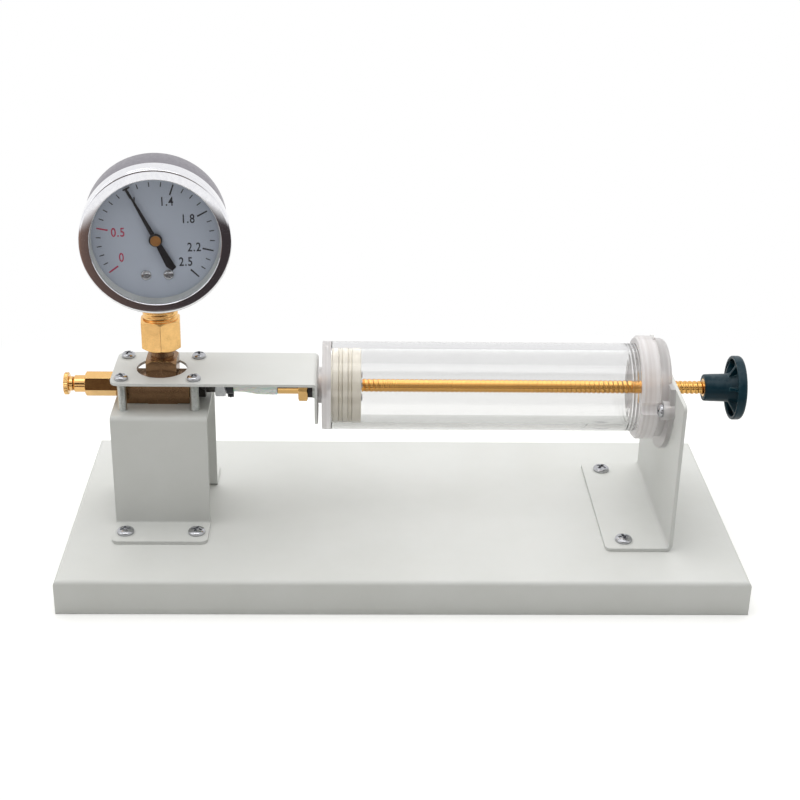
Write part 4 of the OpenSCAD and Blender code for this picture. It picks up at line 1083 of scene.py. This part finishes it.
def tube_outer(low, high):
    """The tube, with the thread on its outside that the cap screws on to."""
    verts, faces = [], []
    steps, rows = 144, 8
    stations = [low, low + TUBE_CHAMFER] + [low + 8 * k for k in range(1, 16)]
    stations = [z for z in stations if z < THREAD_FROM] + [THREAD_FROM]
    fine = int((high - THREAD_FROM) / THREAD_PITCH * rows)
    stations += [
        THREAD_FROM + (k + 1) / fine * (high - THREAD_FROM) for k in range(fine)
    ]
    for z in stations:
        run_in = smooth_step((z - THREAD_FROM) / 2.0) * THREAD_DEPTH
        for k in range(steps):
            a = 2 * math.pi * k / steps
            share = ((z - THREAD_FROM) / THREAD_PITCH - k / steps) % 1.0
            r = TUBE_R - (TUBE_CHAMFER if z == low else run_in * thread_form(share))
            verts.append((r * math.cos(a), r * math.sin(a), z))
    for j in range(len(stations) - 1):
        faces += band(j * steps, (j + 1) * steps, steps)
    rounds = [(len(stations) - 1) * steps]
    inside = ((high, BORE_R + BORE_CHAMFER), (high - BORE_CHAMFER, BORE_R), (low, BORE_R))
    for z, r in inside:
        rounds.append(len(verts))
        verts += circle(r, z, steps)
    for a, b in zip(rounds, rounds[1:] + [0]):
        faces += band(a, b, steps)
    return verts, faces


tube_piece = make_piece(
    "clear_tube",
    moved(tube_outer(TUBE_LEFT, TUBE_RIGHT), on_axis(0)),
    "clear",
    replaces="cylinder_tube",
    sharp=30,
)
for glass in (tube_piece, NODES["end_cap"], NODES["cylinder_end"], NODES["gauge_lens"]):
    glass.visible_shadow = False

# --- release valve, hose and clip ---
KNURLS, KNURL_DEEP, RIM_FLAT = 40, 0.045, 0.9


def knurled(angle, height):
    """Share of the rim's radius: pointed teeth between two plain chamfers."""
    if abs(height) >= RIM_FLAT:
        return 1.0
    return 1 - KNURL_DEEP * abs(2 * ((angle / (2 * math.pi) * KNURLS) % 1.0) - 1)


head_rim = turned(
    [(2.75, -0.95), (4.7, -0.95), (5.0, -0.65), (5.0, 0.8), (4.7, 1.1), (2.75, 1.1)],
    KNURLS * 6,
    loop=True,
    wobble=knurled,
)
valve_stem = turned(
    eased(
        [(0, -0.4), (2.8, -0.4), (2.8, 1.0), (3.3, 1.2)]
        + [(3.3, 2.9), (2.0, 2.9), (2.0, 6.1), (0, 6.1)],
        [0, 0.1, 0.1, 0.2, 0.3, 0.1, 0.2, 0],
    ),
    64,
)
make_piece(
    "valve_thumb",
    moved(joined(head_rim, valve_stem), on_axis(VALVE_X)),
    "brass_long",
    body="valve_screw",
    replaces="valve_screw",
    sharp=30,
)

hose_run = [(1.95, 0.0), (3.0, 0.0), (3.2, 0.3), (3.2, 4.3), (3.28, 6.0), (3.42, 8.5)]
hose_run += [(3.7, 10.5), (4.05, 12.4), (4.3, 14.6), (4.42, 16.0), (4.46, 18.0)]
hose_run += [(4.48, 20.4), (4.48, 22.6), (4.35, 23.2), (3.25, 23.3)]
hose_run += [(3.25, 14.9), (1.95, 8.5)]
make_piece(
    "hose_sleeve",
    moved(turned(hose_run, 96, loop=True), on_axis(LINE_X)),
    "hose",
    replaces="air_hose",
    sharp=60,
)
clip_band = turned(
    eased([(3.25, 0.0), (4.25, 0.0), (4.25, 3.3), (3.25, 3.3)], 0.25, closed=True),
    72,
    loop=True,
)
lug_turn = rotated(25, "Z")
lug_run = eased([(0, -1.4), (3.6, -1.4), (3.6, 1.4), (0, 1.4)], 0.35, closed=True)
lug = moved(prism(lug_run, 0, 2.7), lug_turn @ shifted(3.75, 0, 0.3))
lug_screw_run = eased(
    [(0, -0.5), (0.95, -0.5), (0.95, 0.0), (0.55, 0.0)]
    + [(0.55, 2.8), (0.8, 2.8), (0.8, 3.2), (0, 3.2)],
    0.08,
)
lug_screw = moved(
    turned(lug_screw_run, 32), lug_turn @ shifted(5.95, -1.4, 1.65) @ rotated(-90, "X")
)
make_piece(
    "hose_clamp",
    moved(joined(clip_band, lug, lug_screw), on_axis(LINE_X + 0.2)),
    "clip",
    replaces="hose_clip",
    sharp=35,
)

# thread of the gauge's shank, seen between the union nut and the bezel
SHANK_LOW, SHANK_HIGH, SHANK_R = 109.0, 116.3, 7.75
shank_thread = screw_thread(
    SHANK_LOW, SHANK_HIGH, SHANK_R, depth=0.55, pitch=1.9, steps=96, rows=10
)
make_piece(
    "shank_thread",
    moved(shank_thread, upright(COLUMN_X, AXIS_Y, 0)),
    "brass_up",
    sharp=40,
)

# --- stage: floor, lights and camera ---
FLOOR_LIFT, FLOOR_DROP, FLOOR_HALF = 0.30, 0.0002, 4
WHITE = (1.0, 1.0, 1.0, 1.0)
TENT_LOW, TENT_HIGH = (0.085, 0.083, 0.080, 1.0), (0.58, 0.58, 0.57, 1.0)
FRONT_LEFT, FRONT_RIGHT = (0.25, 0.16, 0.125, 1.0), (0.045, 0.036, 0.038, 1.0)
ROOM_PALE, ROOM_DARK = (0.95, 0.95, 0.96, 1.0), (0.075, 0.05, 0.04, 1.0)


def glow(tree, colour, strength=1.0):
    """Plain light of one colour."""
    inputs = {"Color": colour, "Strength": strength}
    return put(tree, "ShaderNodeEmission", inputs).outputs[0]


def mixed(tree, share, a, b):
    return put(tree, "ShaderNodeMixShader", {0: share, 1: a, 2: b}).outputs[0]


def parted(tree, vector):
    return put(tree, "ShaderNodeSeparateXYZ", {"Vector": vector}).outputs


def backdrop_white(name):
    """White sheet: it takes the object's shadow near it, and is plain white beyond."""
    material = bpy.data.materials.new(name)
    material.use_nodes = True
    tree = material.node_tree
    tree.nodes.clear()
    rays = put(tree, "ShaderNodeLightPath").outputs
    seen = maths(tree, "MAXIMUM", rays["Is Camera Ray"], rays["Is Transmission Ray"])
    mirrored = maths(tree, "MINIMUM", rays["Glossy Depth"], 1.0)
    where = put(tree, "ShaderNodeNewGeometry").outputs["Position"]
    at = parted(tree, where)
    matt = {"Color": paint(236, 236, 234), "Roughness": 0.5}
    sheet = put(tree, "ShaderNodeBsdfDiffuse", matt).outputs[0]
    lift = glow(tree, WHITE, times(tree, seen, FLOOR_LIFT))
    near_look = put(tree, "ShaderNodeAddShader", {0: sheet, 1: lift}).outputs[0]
    squeezed = on_vectors(tree, "MULTIPLY", where, (0.55, 1.0, 1.0))["Vector"]
    away = on_vectors(tree, "LENGTH", squeezed)["Value"]
    shown = maths(tree, "MAXIMUM", seen, mirrored)
    far = times(tree, spread(tree, away, 0.12, 0.26), shown)
    base = mixed(tree, far, near_look, glow(tree, WHITE))
    # the dark strip in front, warm on the left, as polished faces mirror it
    front = spread(tree, at["Y"], -0.15, -0.185)
    front = times(tree, front, spread(tree, at["Y"], -0.8, -0.55))
    side = spread(tree, at["X"], -0.36, -0.06)
    dim = glow(tree, blended(tree, side, FRONT_LEFT, FRONT_RIGHT))
    result = mixed(tree, times(tree, front, mirrored), base, dim)
    out = put(tree, "ShaderNodeOutputMaterial")
    tree.links.new(result, out.inputs["Surface"])
    return material


floor_mesh = bpy.data.meshes.new("table")
corners = [(-1, -1), (1, -1), (1, 1), (-1, 1)]
floor_mesh.from_pydata(
    [(x * FLOOR_HALF, y * FLOOR_HALF, 0) for x, y in corners], [], [[0, 1, 2, 3]]
)
floor_mesh.materials.append(backdrop_white("white table"))
table_top = bpy.data.objects.new("table", floor_mesh)
bpy.context.scene.collection.objects.link(table_top)
table_top.location.z = -FLOOR_DROP

world = bpy.data.worlds.new("studio")
bpy.context.scene.world = world
world.use_nodes = True
sky = world.node_tree
sky.nodes.clear()
rays = put(sky, "ShaderNodeLightPath").outputs
parts = parted(sky, put(sky, "ShaderNodeTexCoord").outputs["Generated"])
front = spread(sky, parts["Y"], -0.72, -0.86)
over, under = spread(sky, parts["Z"], 0.10, 0.17), spread(sky, parts["Z"], 0.62, 0.50)
dark_band = times(sky, front, times(sky, over, under))
room = blended(sky, dark_band, ROOM_PALE, ROOM_DARK)
tent = blended(sky, spread(sky, parts["Z"], 0.0, 1.0), TENT_LOW, TENT_HIGH)
mirror_ray = maths(sky, "MAXIMUM", rays["Is Glossy Ray"], rays["Is Transmission Ray"])
soft = blended(sky, mirror_ray, tent, room)
seen = blended(sky, rays["Is Camera Ray"], soft, WHITE)
background = put(sky, "ShaderNodeBackground", {"Color": seen, "Strength": 1.0})
sky_out = put(sky, "ShaderNodeOutputWorld")
sky.links.new(background.outputs[0], sky_out.inputs["Surface"])


def soft_box(name, at, aim, width, height, watts):
    """A rectangular lamp at a point, turned towards another."""
    lamp = bpy.data.lights.new(name, "AREA")
    lamp.shape = "RECTANGLE"
    lamp.size, lamp.size_y = width, height
    lamp.energy = watts
    holder = bpy.data.objects.new(name, lamp)
    bpy.context.scene.collection.objects.link(holder)
    holder.location = at
    holder.rotation_mode = "QUATERNION"
    holder.rotation_quaternion = (Vector(aim) - Vector(at)).to_track_quat("-Z", "Y")
    return holder


top_light = soft_box("top light", (-0.05, 0.75, 1.60), (0.0, 0.05, 0.0), 3.2, 2.2, 35.0)
top_light.visible_glossy = False
soft_box("left light", (-1.0, -0.35, 0.75), (0.0, 0.0, 0.08), 0.6, 0.6, 0.8)
soft_box("front light", (-0.10, -0.40, 1.40), (-0.05, 0.0, 0.08), 1.3, 0.5, 3.5)

SENSOR_MM, FOCAL_PIXELS, FRAME_PIXELS = 36.0, 1507.28, 800
CAMERA_AT = (-0.02403, -0.61906, 0.36046)
CAMERA_PITCH, CAMERA_YAW, CAMERA_ROLL = 25.075, -2.099, 1.241
camera_data = bpy.data.cameras.new("camera")
camera_data.sensor_width = SENSOR_MM
camera_data.lens = SENSOR_MM * FOCAL_PIXELS / FRAME_PIXELS
camera_data.clip_start, camera_data.clip_end = 0.01, 20.0
camera = bpy.data.objects.new("camera", camera_data)
bpy.context.scene.collection.objects.link(camera)
camera.matrix_world = (
    shifted(*CAMERA_AT)
    @ rotated(CAMERA_YAW, "Z")
    @ rotated(90 - CAMERA_PITCH, "X")
    @ rotated(CAMERA_ROLL, "Z")
)
bpy.context.scene.camera = camera
bpy.context.scene.view_settings.view_transform = "Standard"

bpy.context.view_layer.update()
